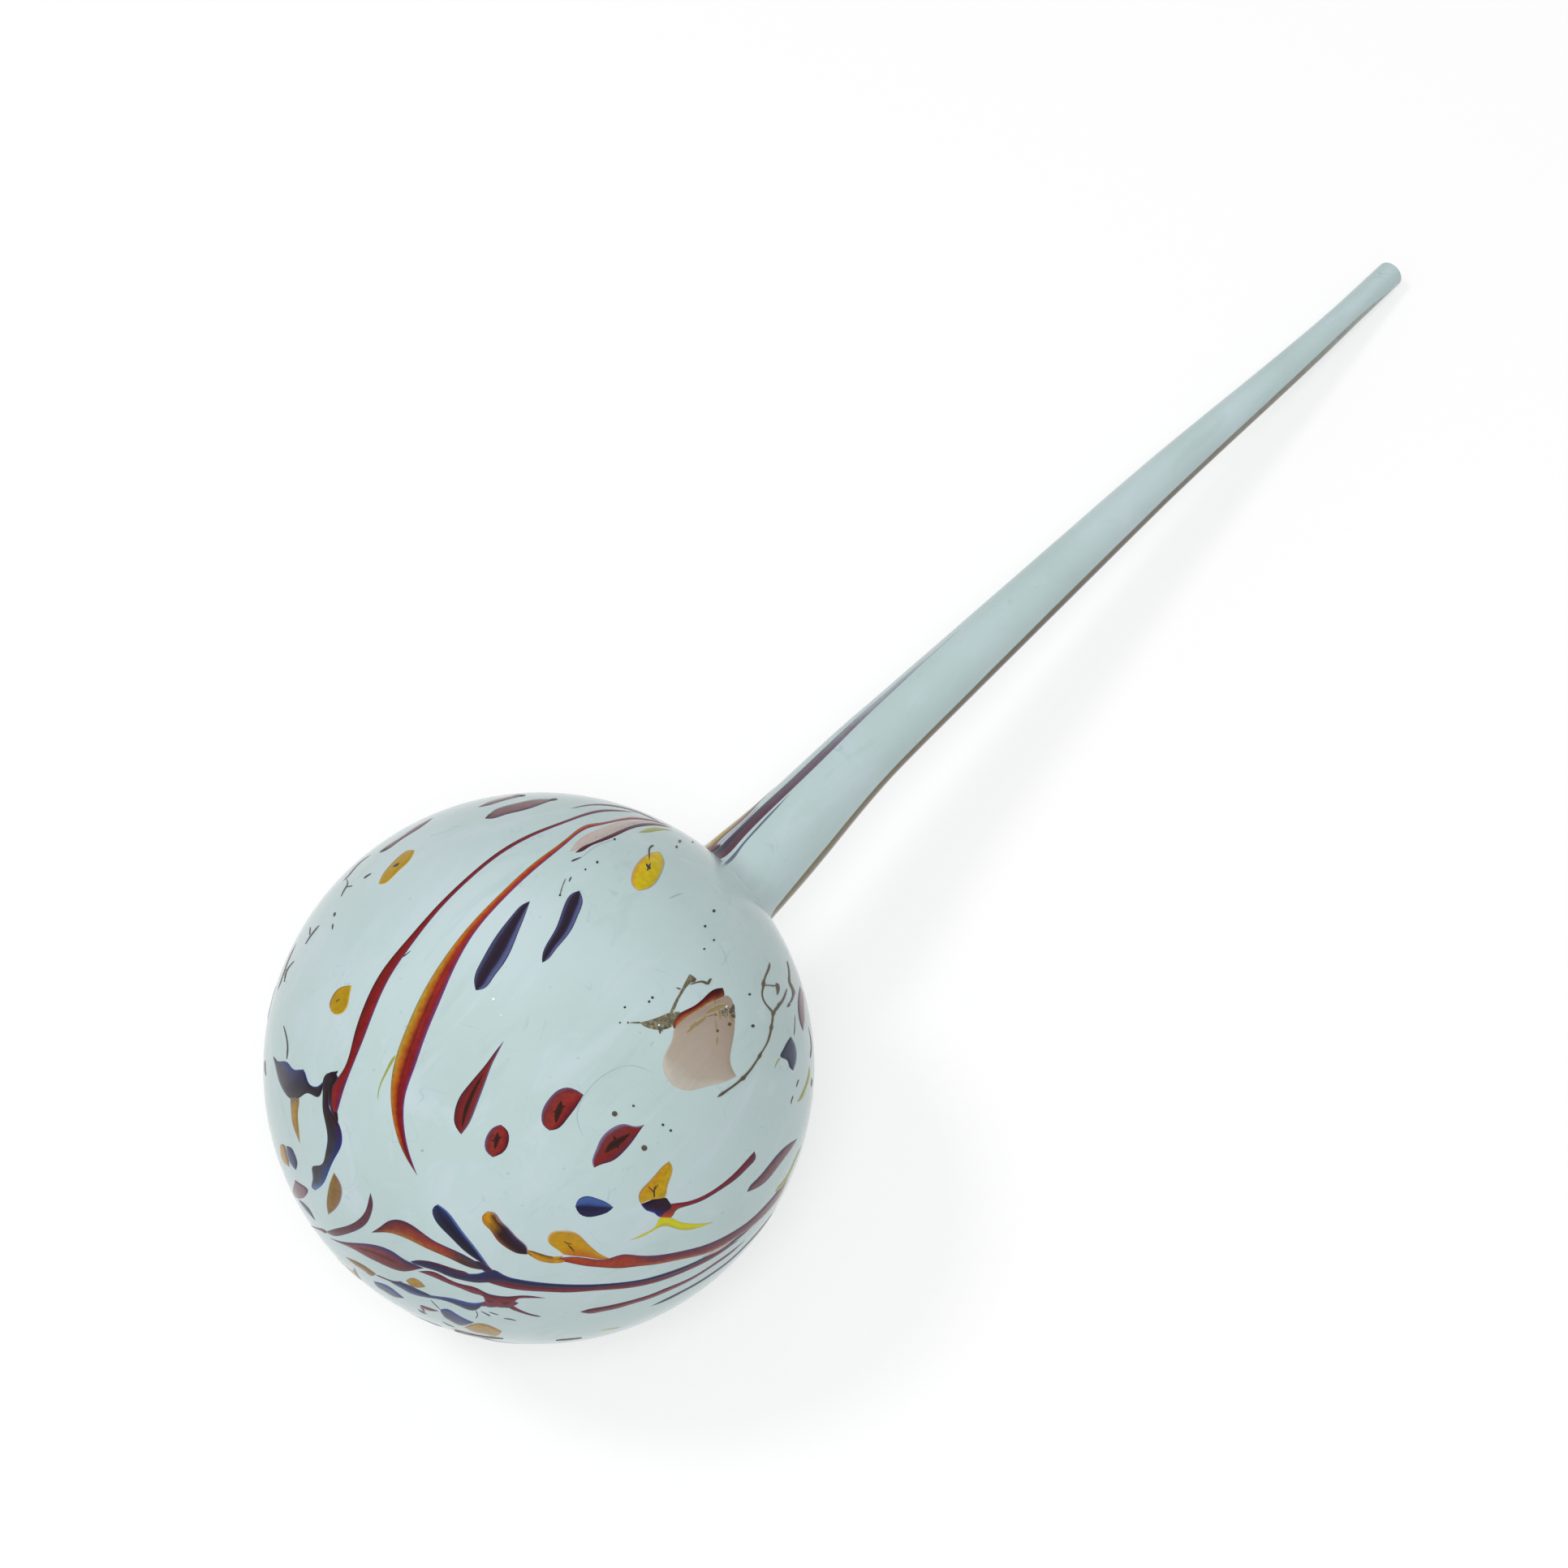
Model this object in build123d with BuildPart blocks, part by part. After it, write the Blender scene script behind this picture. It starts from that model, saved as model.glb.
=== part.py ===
from build123d import *
from math import asin, atan2, cos, hypot, pi, radians, sin, sqrt
import os

# A hand-blown glass watering globe, lying on its side as it rests on a table.
# A gather of clear glass is rolled in white glass and in chips of coloured glass, then blown into a
# ball and drawn out into a long hollow stem. Each glass is a piece of its own, fused face to face.

# Driving sizes in millimetres
globe_radius = 40.0
stem_reach = 230.0  # from the globe's centre to the end of the lip
neck_reach = 50.0  # from the globe's centre to where the neck turns into the stem
neck_radius = 7.3
neck_flare = 1.05  # the part of the neck's radius that fades out along the flare
flare_length = 42.0
neck_blend_radius = 9.0
stem_end_radius = 2.5
stem_end_length = 15.0  # the straight end that goes into the soil
stem_bow = 1.3
bow_rise_length = 32.0
bow_fall_length = 65.0
white_wall = 0.7
clear_wall = 0.8
stem_end_white_wall = 0.5
stem_end_clear_wall = 0.4
lip_round = 0.3
inlay_depth = 0.3
overrun = 1.0

# Where the sections of the stem lie, as shares of the length that tapers
stem_section_shares = (
    0, 0.03, 0.06, 0.1, 0.15, 0.2, 0.27, 0.35, 0.43, 0.51, 0.59, 0.66, 0.73, 0.8, 0.87, 0.94, 1
)

# The viewer that the chips and streaks of the near side are drawn for
view_elevation = 60.4
view_heading = 39.7
picture_middle_px = (966, 966)
focal_px = 4200
globe_middle_px = (665.8, 1313.9)
globe_radius_px = 339.5

# Shape of the taper
taper_length = stem_reach - stem_end_length - neck_reach
taper_slope = (neck_radius - neck_flare - stem_end_radius) / taper_length
neck_slope = taper_slope + 2 * neck_flare / flare_length

# Lie on the table: the globe and the lip both touch it
lip_reach = stem_reach - lip_round
lip_radius = stem_end_radius - lip_round
droop = asin((globe_radius - lip_round) / hypot(lip_reach, lip_radius)) - atan2(lip_radius, lip_reach)
front_reach = lip_reach * cos(droop) + lip_radius * sin(droop) + lip_round
globe_centre = Vector((globe_radius - front_reach) / 2, 0, globe_radius)
stem_direction = Vector(cos(droop), 0, -sin(droop))

# Directions of the viewer
heading = Vector(cos(radians(view_heading)), sin(radians(view_heading)), 0)
view_right = heading.cross(Vector(0, 0, 1))
view_ahead = heading * cos(radians(view_elevation)) - Vector(0, 0, 1) * sin(radians(view_elevation))
view_up = view_right.cross(view_ahead)
view_depth = globe_radius * sqrt((focal_px / globe_radius_px) ** 2 + 1)


def sight_line(spot_px):
    """Line of sight through a pixel, one unit long towards the picture's plane."""
    across = (spot_px[0] - picture_middle_px[0]) / focal_px
    down = (spot_px[1] - picture_middle_px[1]) / focal_px
    return view_ahead + view_right * across - view_up * down


to_globe = sight_line(globe_middle_px) * view_depth

# The side of the stem that faces the viewer
towards_viewer = to_globe * -1
facing = (towards_viewer - stem_direction * towards_viewer.dot(stem_direction)).normalized()
stem_axis = Axis(globe_centre, stem_direction)


def seen_at(spot_px, turn):
    """Spot on the globe that a pixel shows, from the globe's centre, turned around the stem."""
    ray = sight_line(spot_px).normalized()
    along = ray.dot(to_globe)
    half_chord = sqrt(max(along**2 - to_globe.dot(to_globe) + globe_radius**2, 0))
    spot = (ray * (along - half_chord) - to_globe).normalized() * globe_radius
    return spot.rotate(Axis((0, 0, 0), stem_direction), turn)


def around(turn):
    """Direction square to the stem, a turn in degrees around it from the viewer's side."""
    return facing.rotate(Axis((0, 0, 0), stem_direction), turn)


# Layers of the wall


def taper_share(reach):
    return min(max((reach - neck_reach) / taper_length, 0), 1)


def white_depth(reach):
    return white_wall + (stem_end_white_wall - white_wall) * taper_share(reach)


def full_depth(reach):
    clear_depth = clear_wall + (stem_end_clear_wall - clear_wall) * taper_share(reach)
    return white_depth(reach) + clear_depth


def stem_radius(reach):
    """Outer radius of the stem at a distance from the globe's centre."""
    straight = stem_end_radius + taper_slope * max(neck_reach + taper_length - reach, 0)
    flare_share = max(neck_reach + flare_length - reach, 0) / flare_length
    return straight + neck_flare * flare_share**2


def stem_plane(reach):
    """Plane across the stem, which bows a little to its left between the neck and the end."""
    rise_share = min(max((reach - neck_reach) / bow_rise_length, 0), 1)
    fall_share = min(max((neck_reach + taper_length - reach) / bow_fall_length, 0), 1)
    bow = stem_bow * (1 - cos(pi * rise_share)) / 2 * (1 - cos(pi * fall_share)) / 2
    return Plane(
        origin=globe_centre + stem_direction * reach + Vector(0, bow, 0),
        x_dir=(0, 1, 0),
        z_dir=stem_direction,
    )


def globe_form(depth, beyond):
    """Ball and neck, drawn in by a depth, with the neck run on beyond its end."""
    end_reach = neck_reach + beyond
    end_radius = neck_radius - depth - neck_slope * beyond
    root_radius = neck_radius - depth + neck_slope * neck_reach
    with BuildPart() as form:
        with BuildSketch(Plane(origin=globe_centre, x_dir=stem_direction, z_dir=(0, -1, 0))) as profile:
            Circle(globe_radius - depth)
            with BuildLine():
                Polyline((0, 0), (end_reach, 0), (end_reach, end_radius), (0, root_radius), close=True)
            make_face()
            with Locations((0, -stem_reach)):
                Rectangle(2 * stem_reach, 2 * stem_reach, mode=Mode.SUBTRACT)
            fillet(profile.vertices().sort_by(Axis.Y)[-1], neck_blend_radius + depth)
        revolve(axis=stem_axis)
    return form.part


def stem_form(depth_at, beyond):
    """Stem drawn in by a depth that may change along it, run on beyond both its ends."""
    with BuildPart() as form:
        for share in stem_section_shares:
            reach = neck_reach + taper_length * share
            with BuildSketch(stem_plane(reach)):
                Circle(stem_radius(reach) - depth_at(reach))
        loft()
        with BuildSketch(stem_plane(stem_reach - stem_end_length)):
            Circle(stem_end_radius - depth_at(stem_reach))
        extrude(amount=stem_end_length + beyond)
        if beyond:
            with BuildSketch(stem_plane(neck_reach)):
                Circle(neck_radius - depth_at(neck_reach))
            extrude(amount=-beyond)
    return form.part


# The coloured glass of the near side. Each piece has two sides, in pixels of the viewer's picture: the
# first from end to end, the second with only its inner points.
outlines_px = {
    "gold_crust": [
        ([(788, 1260), (800, 1257), (812, 1253), (824, 1248), (838, 1246)],
         [(793, 1264), (804, 1268), (816, 1269), (828, 1265), (835, 1257)]),
        ([(825, 1249), (832, 1233), (840, 1219), (845, 1209), (850, 1200)],
         [(829, 1247), (835, 1235), (843, 1221), (850, 1212), (857, 1205)]),
        ([(846, 1273), (856, 1259), (870, 1251), (886, 1240), (902, 1236)],
         [(864, 1262), (880, 1252), (893, 1256), (905, 1254)]),
    ],
    "window_band": [
        ([(831, 1268), (829, 1258), (840, 1247), (856, 1239), (870, 1227), (880, 1219), (891, 1217)],
         [(844, 1255), (860, 1245), (880, 1233), (893, 1226)]),
    ],
    "tan_window": [
        ([(830, 1270), (828, 1282), (822, 1294), (817, 1308), (818, 1320), (828, 1336), (838, 1342),
          (850, 1344), (864, 1341), (880, 1337), (894, 1333), (908, 1326)],
         [(845, 1254), (880, 1233), (898, 1227), (905, 1240), (906, 1254), (905, 1272), (901, 1294),
          (900, 1308), (903, 1318)]),
    ],
    "long_red_streak": [
        ([(786, 1001), (740, 997), (700, 1009), (660, 1024), (620, 1045), (580, 1076), (540, 1114),
          (500, 1159), (469, 1198), (449, 1237), (435, 1279), (422, 1319), (408, 1340), (405, 1360),
          (413, 1378)],
         [(740, 1000), (700, 1012), (660, 1028), (620, 1050), (580, 1082), (540, 1122), (504, 1168),
          (480, 1204), (461, 1245), (446, 1284), (431, 1321), (424, 1340), (418, 1360)]),
    ],
    "navy_splash": [
        ([(411, 1320), (401, 1324), (397, 1346), (397, 1366), (400, 1382), (403, 1402), (400, 1424),
          (394, 1436), (385, 1437), (385, 1452), (384, 1464), (388, 1467)],
         [(416, 1328), (409, 1340), (405, 1354), (406, 1366), (414, 1379), (419, 1390), (420, 1412),
          (414, 1424), (406, 1440), (394, 1463)]),
        ([(336, 1302), (340, 1307), (352, 1308), (362, 1318), (372, 1318), (381, 1336), (389, 1339),
          (398, 1332)],
         [(339, 1316), (344, 1334), (350, 1346), (358, 1354), (368, 1353), (378, 1347), (390, 1352)]),
    ],
    "orange_spike": [
        ([(357, 1352), (358, 1368), (360, 1385), (364, 1397), (369, 1409)],
         [(367, 1352), (367, 1366), (367, 1385), (368, 1397)]),
    ],
    "long_orange_streak": [
        ([(828, 1018), (780, 1006), (740, 1013), (722, 1016), (700, 1031), (660, 1061), (620, 1097),
          (580, 1138), (545, 1183), (519, 1226), (499, 1270), (485, 1312), (481, 1350), (484, 1380),
          (497, 1421), (514, 1449)],
         [(780, 1009), (740, 1016), (722, 1021), (700, 1037), (660, 1070), (620, 1108), (584, 1150),
          (559, 1194), (541, 1236), (524, 1277), (510, 1317), (499, 1350), (497, 1380), (504, 1421)]),
    ],
    "tan_wedge": [
        ([(702, 1049), (708, 1040), (726, 1026), (744, 1019), (760, 1013), (780, 1010), (800, 1011)],
         [(712, 1046), (726, 1038), (740, 1032), (760, 1023), (780, 1015)]),
    ],
    "maroon_line": [
        ([(709, 1050), (716, 1044), (726, 1039), (740, 1033), (760, 1024), (780, 1016), (796, 1013),
          (812, 1014), (828, 1020)],
         [(716, 1049), (726, 1043), (740, 1037), (760, 1029), (780, 1020), (796, 1017), (812, 1017)]),
    ],
    "olive_streaks": [
        ([(787, 1025), (800, 1020), (812, 1019), (830, 1023)], [(800, 1025), (812, 1023)]),
        ([(983, 1358), (989, 1346), (995, 1330), (998, 1314)], [(987, 1356), (994, 1342), (999, 1326)]),
    ],
    "navy_leaves": [
        ([(586, 1220), (584, 1210), (594, 1182), (604, 1164), (616, 1146), (632, 1126), (644, 1114),
          (653, 1110)],
         [(596, 1218), (608, 1204), (620, 1188), (630, 1170), (638, 1150), (646, 1130)]),
        ([(668, 1186), (668, 1178), (674, 1162), (684, 1145), (690, 1130), (696, 1113), (704, 1101),
          (714, 1097)],
         [(675, 1182), (684, 1171), (695, 1158), (705, 1144), (713, 1126), (718, 1108)]),
    ],
    "yellow_ovals": [
        ([(466, 1089), (469, 1081), (478, 1068), (492, 1054), (504, 1047), (511, 1047)],
         [(472, 1089), (480, 1084), (492, 1072), (506, 1058)]),
        ([(410, 1249), (406, 1242), (408, 1229), (420, 1216), (433, 1214)],
         [(417, 1250), (425, 1245), (430, 1230)]),
        ([(787, 1097), (779, 1090), (778, 1080), (788, 1060), (800, 1051), (813, 1049)],
         [(798, 1095), (808, 1088), (816, 1074), (819, 1061)]),
    ],
    "mauve_slivers": [
        ([(589, 994), (600, 988), (620, 982), (636, 979), (648, 979)], [(600, 992), (620, 986), (636, 982)]),
        ([(598, 1008), (608, 998), (620, 993), (640, 988), (660, 984), (686, 984)],
         [(606, 1008), (620, 1004), (640, 999), (660, 993), (676, 987)]),
        ([(468, 1050), (476, 1042), (490, 1033), (510, 1019), (533, 1007)],
         [(476, 1047), (490, 1037), (510, 1024), (526, 1013)]),
        ([(986, 1214), (984, 1228), (984, 1246), (987, 1262), (990, 1270)],
         [(989, 1220), (991, 1230), (992, 1246), (992, 1260)]),
        ([(363, 1454), (361, 1462), (360, 1470), (366, 1477), (374, 1476)], [(370, 1459), (379, 1467)]),
        ([(921, 1469), (923, 1464), (932, 1454), (946, 1438), (960, 1421), (972, 1410), (983, 1403)],
         [(929, 1466), (942, 1458), (956, 1442), (968, 1426), (978, 1412)]),
    ],
    "slate_drop": [
        ([(975, 1277), (969, 1286), (965, 1294), (962, 1302), (970, 1306), (974, 1316), (978, 1319)],
         [(979, 1284), (982, 1296), (981, 1310)]),
    ],
    "red_leaves": [
        ([(621, 1282), (609, 1297), (598, 1312), (588, 1324), (577, 1337), (566, 1352), (560, 1370),
          (560, 1385), (568, 1398)],
         [(614, 1296), (606, 1312), (600, 1328), (593, 1347), (585, 1368), (577, 1386)]),
        ([(732, 1439), (730, 1434), (734, 1418), (740, 1404), (750, 1393), (760, 1387), (770, 1385),
          (782, 1388), (794, 1386)],
         [(741, 1435), (754, 1431), (768, 1420), (780, 1406), (789, 1393)]),
    ],
    "red_ovals": [
        ([(607, 1426), (599, 1419), (597, 1409), (601, 1397), (608, 1389), (617, 1386)],
         [(620, 1420), (627, 1406), (625, 1393)]),
        ([(677, 1393), (669, 1386), (667, 1376), (670, 1364), (678, 1352), (688, 1343), (700, 1340),
          (710, 1343), (719, 1349)],
         [(687, 1391), (698, 1380), (710, 1364)]),
    ],
    "blue_drop": [
        ([(709, 1487), (712, 1479), (722, 1474), (736, 1477), (748, 1482), (756, 1488)],
         [(714, 1496), (726, 1500), (738, 1498), (749, 1494)]),
    ],
    "yellow_leaf": [
        ([(790, 1484), (787, 1477), (788, 1470), (796, 1460), (808, 1447), (818, 1436), (825, 1431)],
         [(806, 1478), (820, 1476), (822, 1468), (826, 1453), (829, 1438)]),
    ],
    "red_tail": [
        ([(812, 1499), (824, 1485), (840, 1482), (864, 1475), (880, 1466), (896, 1454), (908, 1443),
          (920, 1430), (930, 1419)],
         [(820, 1502), (828, 1500), (833, 1492), (841, 1488), (865, 1480), (881, 1471), (898, 1460),
          (911, 1450), (924, 1437), (932, 1425)]),
    ],
    "dark_leaf_base": [
        ([(790, 1484), (800, 1480), (810, 1476), (821, 1476), (827, 1484), (832, 1488)],
         [(797, 1492), (808, 1496), (812, 1500), (822, 1497)]),
    ],
    "lime_legs": [
        ([(776, 1529), (796, 1519), (810, 1508), (812, 1502), (828, 1501), (836, 1505), (852, 1508),
          (864, 1508), (880, 1506)],
         [(796, 1522), (812, 1513), (820, 1511), (832, 1514), (846, 1516), (864, 1512)]),
    ],
    "teardrops": [
        ([(604, 1563), (586, 1552), (570, 1540), (556, 1526), (542, 1512), (534, 1500), (533, 1489),
          (539, 1484)],
         [(594, 1549), (582, 1533), (570, 1518), (560, 1504), (550, 1492)]),
        ([(650, 1546), (638, 1545), (624, 1538), (612, 1528), (602, 1514), (595, 1507), (594, 1499),
          (601, 1493)],
         [(650, 1539), (638, 1526), (626, 1513), (616, 1503), (610, 1495)]),
    ],
    "yellow_strand": [
        ([(648, 1539), (664, 1546), (680, 1549), (694, 1548)], [(650, 1545), (662, 1551), (678, 1556)]),
    ],
    "yellow_low_leaf": [
        ([(694, 1546), (684, 1538), (675, 1530), (677, 1521), (686, 1517), (697, 1517), (709, 1519),
          (719, 1527), (729, 1537), (741, 1546), (752, 1551)],
         [(708, 1548), (726, 1550), (740, 1552)]),
    ],
    "low_red_streak": [
        ([(680, 1552), (706, 1549), (726, 1551), (746, 1552), (768, 1546), (784, 1547), (810, 1547),
          (840, 1542), (870, 1534), (900, 1520), (924, 1504), (944, 1485), (960, 1466), (975, 1442)],
         [(700, 1556), (720, 1560), (740, 1562), (764, 1563), (784, 1561), (810, 1558), (840, 1552),
          (870, 1545), (900, 1530), (928, 1511), (948, 1492), (964, 1470)]),
    ],
    "orange_swoosh": [
        ([(457, 1519), (468, 1512), (478, 1505), (488, 1503), (500, 1506), (512, 1513), (528, 1525),
          (544, 1534), (560, 1541), (576, 1549), (590, 1557), (604, 1566)],
         [(464, 1519), (476, 1519), (492, 1523), (508, 1530), (524, 1538), (540, 1545), (560, 1554),
          (578, 1562)]),
    ],
    "low_red_leaf": [
        ([(406, 1526), (420, 1530), (440, 1532), (460, 1534), (474, 1538), (486, 1544), (496, 1551),
          (508, 1557), (522, 1563)],
         [(416, 1531), (432, 1538), (450, 1548), (468, 1557), (484, 1564), (498, 1567), (512, 1565)]),
    ],
    "navy_band": [
        ([(506, 1555), (520, 1556), (536, 1560), (552, 1566), (570, 1569), (592, 1569), (608, 1565),
          (620, 1571), (640, 1577), (660, 1580), (700, 1583), (730, 1583), (760, 1581), (790, 1577),
          (820, 1569), (850, 1558), (880, 1543), (910, 1524), (934, 1505)],
         [(522, 1562), (536, 1566), (550, 1572), (570, 1578), (590, 1581), (612, 1580), (640, 1584),
          (670, 1587), (700, 1588), (730, 1588), (760, 1585), (790, 1581), (820, 1574), (850, 1562),
          (880, 1546), (910, 1527)]),
    ],
    "maroon_band": [
        ([(600, 1580), (612, 1579), (640, 1583), (670, 1586), (700, 1587), (730, 1587), (760, 1584),
          (790, 1580), (820, 1573), (850, 1561), (880, 1545), (912, 1527)],
         [(612, 1584), (640, 1590), (670, 1592), (700, 1593), (730, 1591), (760, 1589), (790, 1585),
          (820, 1577), (850, 1565), (880, 1550)]),
    ],
    "red_hook": [
        ([(456, 1470), (454, 1478), (450, 1492), (440, 1504), (426, 1511), (410, 1515), (401, 1518)],
         [(459, 1482), (457, 1496), (451, 1508), (440, 1516), (426, 1521), (410, 1523)]),
    ],
    "navy_chips": [
        ([(492, 1581), (504, 1587), (520, 1594), (534, 1597), (556, 1600), (572, 1604), (588, 1606),
          (598, 1604)],
         [(504, 1590), (520, 1598), (538, 1601), (556, 1606), (570, 1612), (586, 1615), (593, 1610)]),
        ([(460, 1579), (468, 1581), (480, 1586), (488, 1592), (498, 1600)],
         [(463, 1585), (472, 1591), (486, 1599)]),
        ([(542, 1614), (550, 1613), (560, 1618), (572, 1625), (584, 1630)],
         [(545, 1621), (556, 1629), (567, 1634)]),
        ([(352, 1412), (353, 1422), (357, 1434), (364, 1442)], [(358, 1414), (363, 1423), (366, 1434)]),
    ],
    "red_branch": [
        ([(515, 1567), (532, 1567), (546, 1573), (560, 1580), (574, 1584), (586, 1587), (600, 1594),
          (612, 1597), (628, 1598), (640, 1597), (672, 1600)],
         [(536, 1575), (552, 1582), (570, 1589), (586, 1595), (597, 1600), (598, 1609), (614, 1611),
          (632, 1610), (636, 1602), (644, 1600)]),
    ],
    "yellow_chips": [
        ([(500, 1578), (506, 1575), (516, 1578), (524, 1586)], [(504, 1583), (514, 1587)]),
        ([(572, 1636), (588, 1631), (604, 1634), (618, 1641)], [(584, 1642), (600, 1645), (614, 1646)]),
        ([(344, 1411), (345, 1422), (350, 1434), (356, 1438)], [(349, 1410), (352, 1417), (355, 1430)]),
    ],
    "orange_chips": [
        ([(425, 1549), (440, 1555), (452, 1562), (463, 1570)], [(438, 1560), (450, 1568), (459, 1573)]),
        ([(411, 1445), (406, 1458), (403, 1472), (402, 1484), (404, 1497)],
         [(417, 1454), (421, 1466), (419, 1480), (412, 1491)]),
    ],
    "low_maroon_streak": [
        ([(715, 1617), (724, 1614), (740, 1611), (760, 1607), (780, 1602), (800, 1596), (820, 1588),
          (840, 1580), (860, 1570), (880, 1557), (900, 1543), (918, 1529)],
         [(724, 1619), (740, 1617), (760, 1613), (780, 1607), (800, 1601), (820, 1593), (840, 1584),
          (860, 1573), (880, 1560), (900, 1546)]),
    ],
    "teal_streak": [
        ([(802, 1610), (820, 1601), (840, 1591), (860, 1580), (880, 1567), (900, 1552), (920, 1533),
          (940, 1511), (956, 1490)],
         [(820, 1604), (840, 1594), (860, 1583), (880, 1570), (900, 1555), (920, 1536), (940, 1514)]),
    ],
}

# Turns in degrees at which a piece comes again around the globe, on the side that the viewer misses
turns = {
    "long_red_streak": (0, 155),
    "long_orange_streak": (0, -128),
    "navy_leaves": (0, 172),
    "yellow_ovals": (0, -112),
    "red_leaves": (0, 160),
    "red_ovals": (0, -152),
    "blue_drop": (0, 140, -135),
    "teardrops": (0, 108),
    "orange_swoosh": (0, 150),
}

# Pieces that lie over another one where they meet
laid_over = {
    "window_band": ("gold_crust",),
    "tan_window": ("gold_crust", "window_band"),
    "navy_splash": ("long_red_streak",),
    "orange_spike": ("navy_splash",),
    "maroon_line": ("tan_wedge",),
    "dark_leaf_base": ("yellow_leaf", "red_tail"),
    "lime_legs": ("dark_leaf_base", "red_tail"),
    "yellow_strand": ("teardrops",),
    "low_red_streak": ("yellow_strand", "yellow_low_leaf"),
    "navy_band": ("low_red_streak", "orange_swoosh"),
    "maroon_band": ("navy_band",),
    "red_branch": ("navy_chips",),
    "yellow_chips": ("navy_chips",),
    "slate_stem_streaks": ("maroon_stem_streaks",),
}

# The streaks of the neck and the stem: at each spot the share of the stem's reach, then the turns in
# degrees around the stem, from the viewer's side, of the streak's two edges
streak_shares = {
    "maroon_stem_streaks": [
        [(0.15, -27, -27), (0.18, -36, -29), (0.2, -42, -34), (0.22, -48, -39), (0.24, -52, -42),
         (0.265, -52, -43), (0.29, -52, -43), (0.32, -53, -44), (0.35, -54, -47), (0.38, -56, -51),
         (0.41, -58, -54), (0.46, -59, -59)],
        [(0.15, 152, 152), (0.18, 143, 157), (0.22, 142, 153), (0.3, 142, 151), (0.42, 142, 149),
         (0.58, 146, 146)],
    ],
    "slate_stem_streaks": [
        [(0.16, -38, -38), (0.18, -45, -33), (0.2, -51, -39), (0.22, -56, -45), (0.24, -60, -49),
         (0.265, -61, -49), (0.3, -61, -49), (0.34, -62, -51), (0.38, -63, -53), (0.43, -64, -64)],
        [(0.17, -19, -19), (0.18, -23, -20), (0.2, -30, -27), (0.22, -35, -32), (0.235, -38, -35),
         (0.26, -40, -40)],
        [(0.165, -172, -172), (0.19, -178, -170), (0.22, -179, -171), (0.28, -179, -173),
         (0.36, -180, -175), (0.45, -178, -178)],
    ],
    "yellow_stem_streaks": [
        [(0.165, -56, -56), (0.186, -66, -55), (0.2, -76, -60), (0.215, -84, -63), (0.228, -88, -66),
         (0.245, -90, -76), (0.27, -92, -92)],
        [(0.185, 119, 119), (0.2, 112, 122), (0.225, 111, 119), (0.26, 111, 117), (0.31, 114, 114)],
    ],
    "brown_stem_streaks": [
        [(0.165, 80, 80), (0.185, 67, 93), (0.21, 60, 97), (0.25, 56, 98), (0.35, 57, 99),
         (0.45, 55, 99), (0.6, 52, 99), (0.8, 48, 97), (0.93, 44, 95), (0.985, 70, 70)],
    ],
}


def side_of(spots_px, turn):
    return [seen_at(spot_px, turn) for spot_px in spots_px]


def drawn_at(reach, turn):
    """Spot on the neck or the stem, from the globe's centre."""
    ball_radius = sqrt(max(globe_radius**2 - reach**2, 0))
    radius = stem_radius(reach) if reach > neck_reach else max(ball_radius, neck_radius)
    return stem_plane(reach).origin - globe_centre + around(turn) * radius


def streak_sides(spots):
    """Both sides of a streak, which meet at its first and its last spot."""
    first_side = [drawn_at(stem_reach * share, turn) for share, turn, other_turn in spots]
    second_side = [drawn_at(stem_reach * share, turn) for share, other_turn, turn in spots[1:-1]]
    return first_side, second_side


def blank(first_side, second_side, outward):
    """Prism with the outline of one piece of glass, from the globe's middle out past its surface."""
    across = first_side[-1] - first_side[0]
    sheet = Plane(origin=globe_centre, x_dir=across - outward * across.dot(outward), z_dir=outward)
    with BuildPart() as prism:
        with BuildSketch(sheet):
            with BuildLine():
                for side in (first_side, [first_side[0], *second_side, first_side[-1]]):
                    spots = [sheet.to_local_coords(globe_centre + spot) for spot in side]
                    Spline(*[(spot.X, spot.Y) for spot in spots])
            make_face()
        extrude(amount=globe_radius + overrun)
    return prism.part


# The coloured glass fills beds in the white glass, which are cut past the surface while the glass itself
# ends flush with it
beds, inlays = {}, {}


def bed_of(outline, zone):
    with BuildPart() as bed:
        add(outline)
        add(zone, mode=Mode.INTERSECT)
    return bed.part


def lay(name, outlines, zones, surface):
    """Keep the bed and the glass of one kind of piece."""
    pieces = [bed_of(outline, zone) for outline in outlines for zone in zones]
    covers = [beds[cover].part for cover in laid_over.get(name, ())]
    with BuildPart() as bed:
        add(pieces)
        if covers:
            add(covers, mode=Mode.SUBTRACT)
    with BuildPart() as inlay:
        add(bed.part)
        add(surface, mode=Mode.INTERSECT)
    beds[name], inlays[name] = bed, inlay


def ball_shell(outer_radius, inner_radius):
    with BuildPart() as shell:
        with Locations(globe_centre):
            Sphere(outer_radius)
            if inner_radius:
                Sphere(inner_radius, mode=Mode.SUBTRACT)
    return shell.part


def layer(outer_form, inner_form):
    with BuildPart() as wall:
        add(outer_form)
        add(inner_form, mode=Mode.SUBTRACT)
    return wall.part


globe_surface = globe_form(0, 0)
stem_surface = stem_form(lambda reach: 0, 0)
with BuildPart() as whole_surface:
    add([globe_surface, stem_surface])

ball_zone = ball_shell(globe_radius + overrun, globe_radius - inlay_depth)
window_zone = ball_shell(globe_radius + overrun, globe_radius - white_wall)
neck_zone = layer(globe_form(-overrun, 0), globe_form(inlay_depth, overrun))
stem_zone = layer(stem_form(lambda reach: -overrun, 0), stem_form(lambda reach: inlay_depth, overrun))

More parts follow.
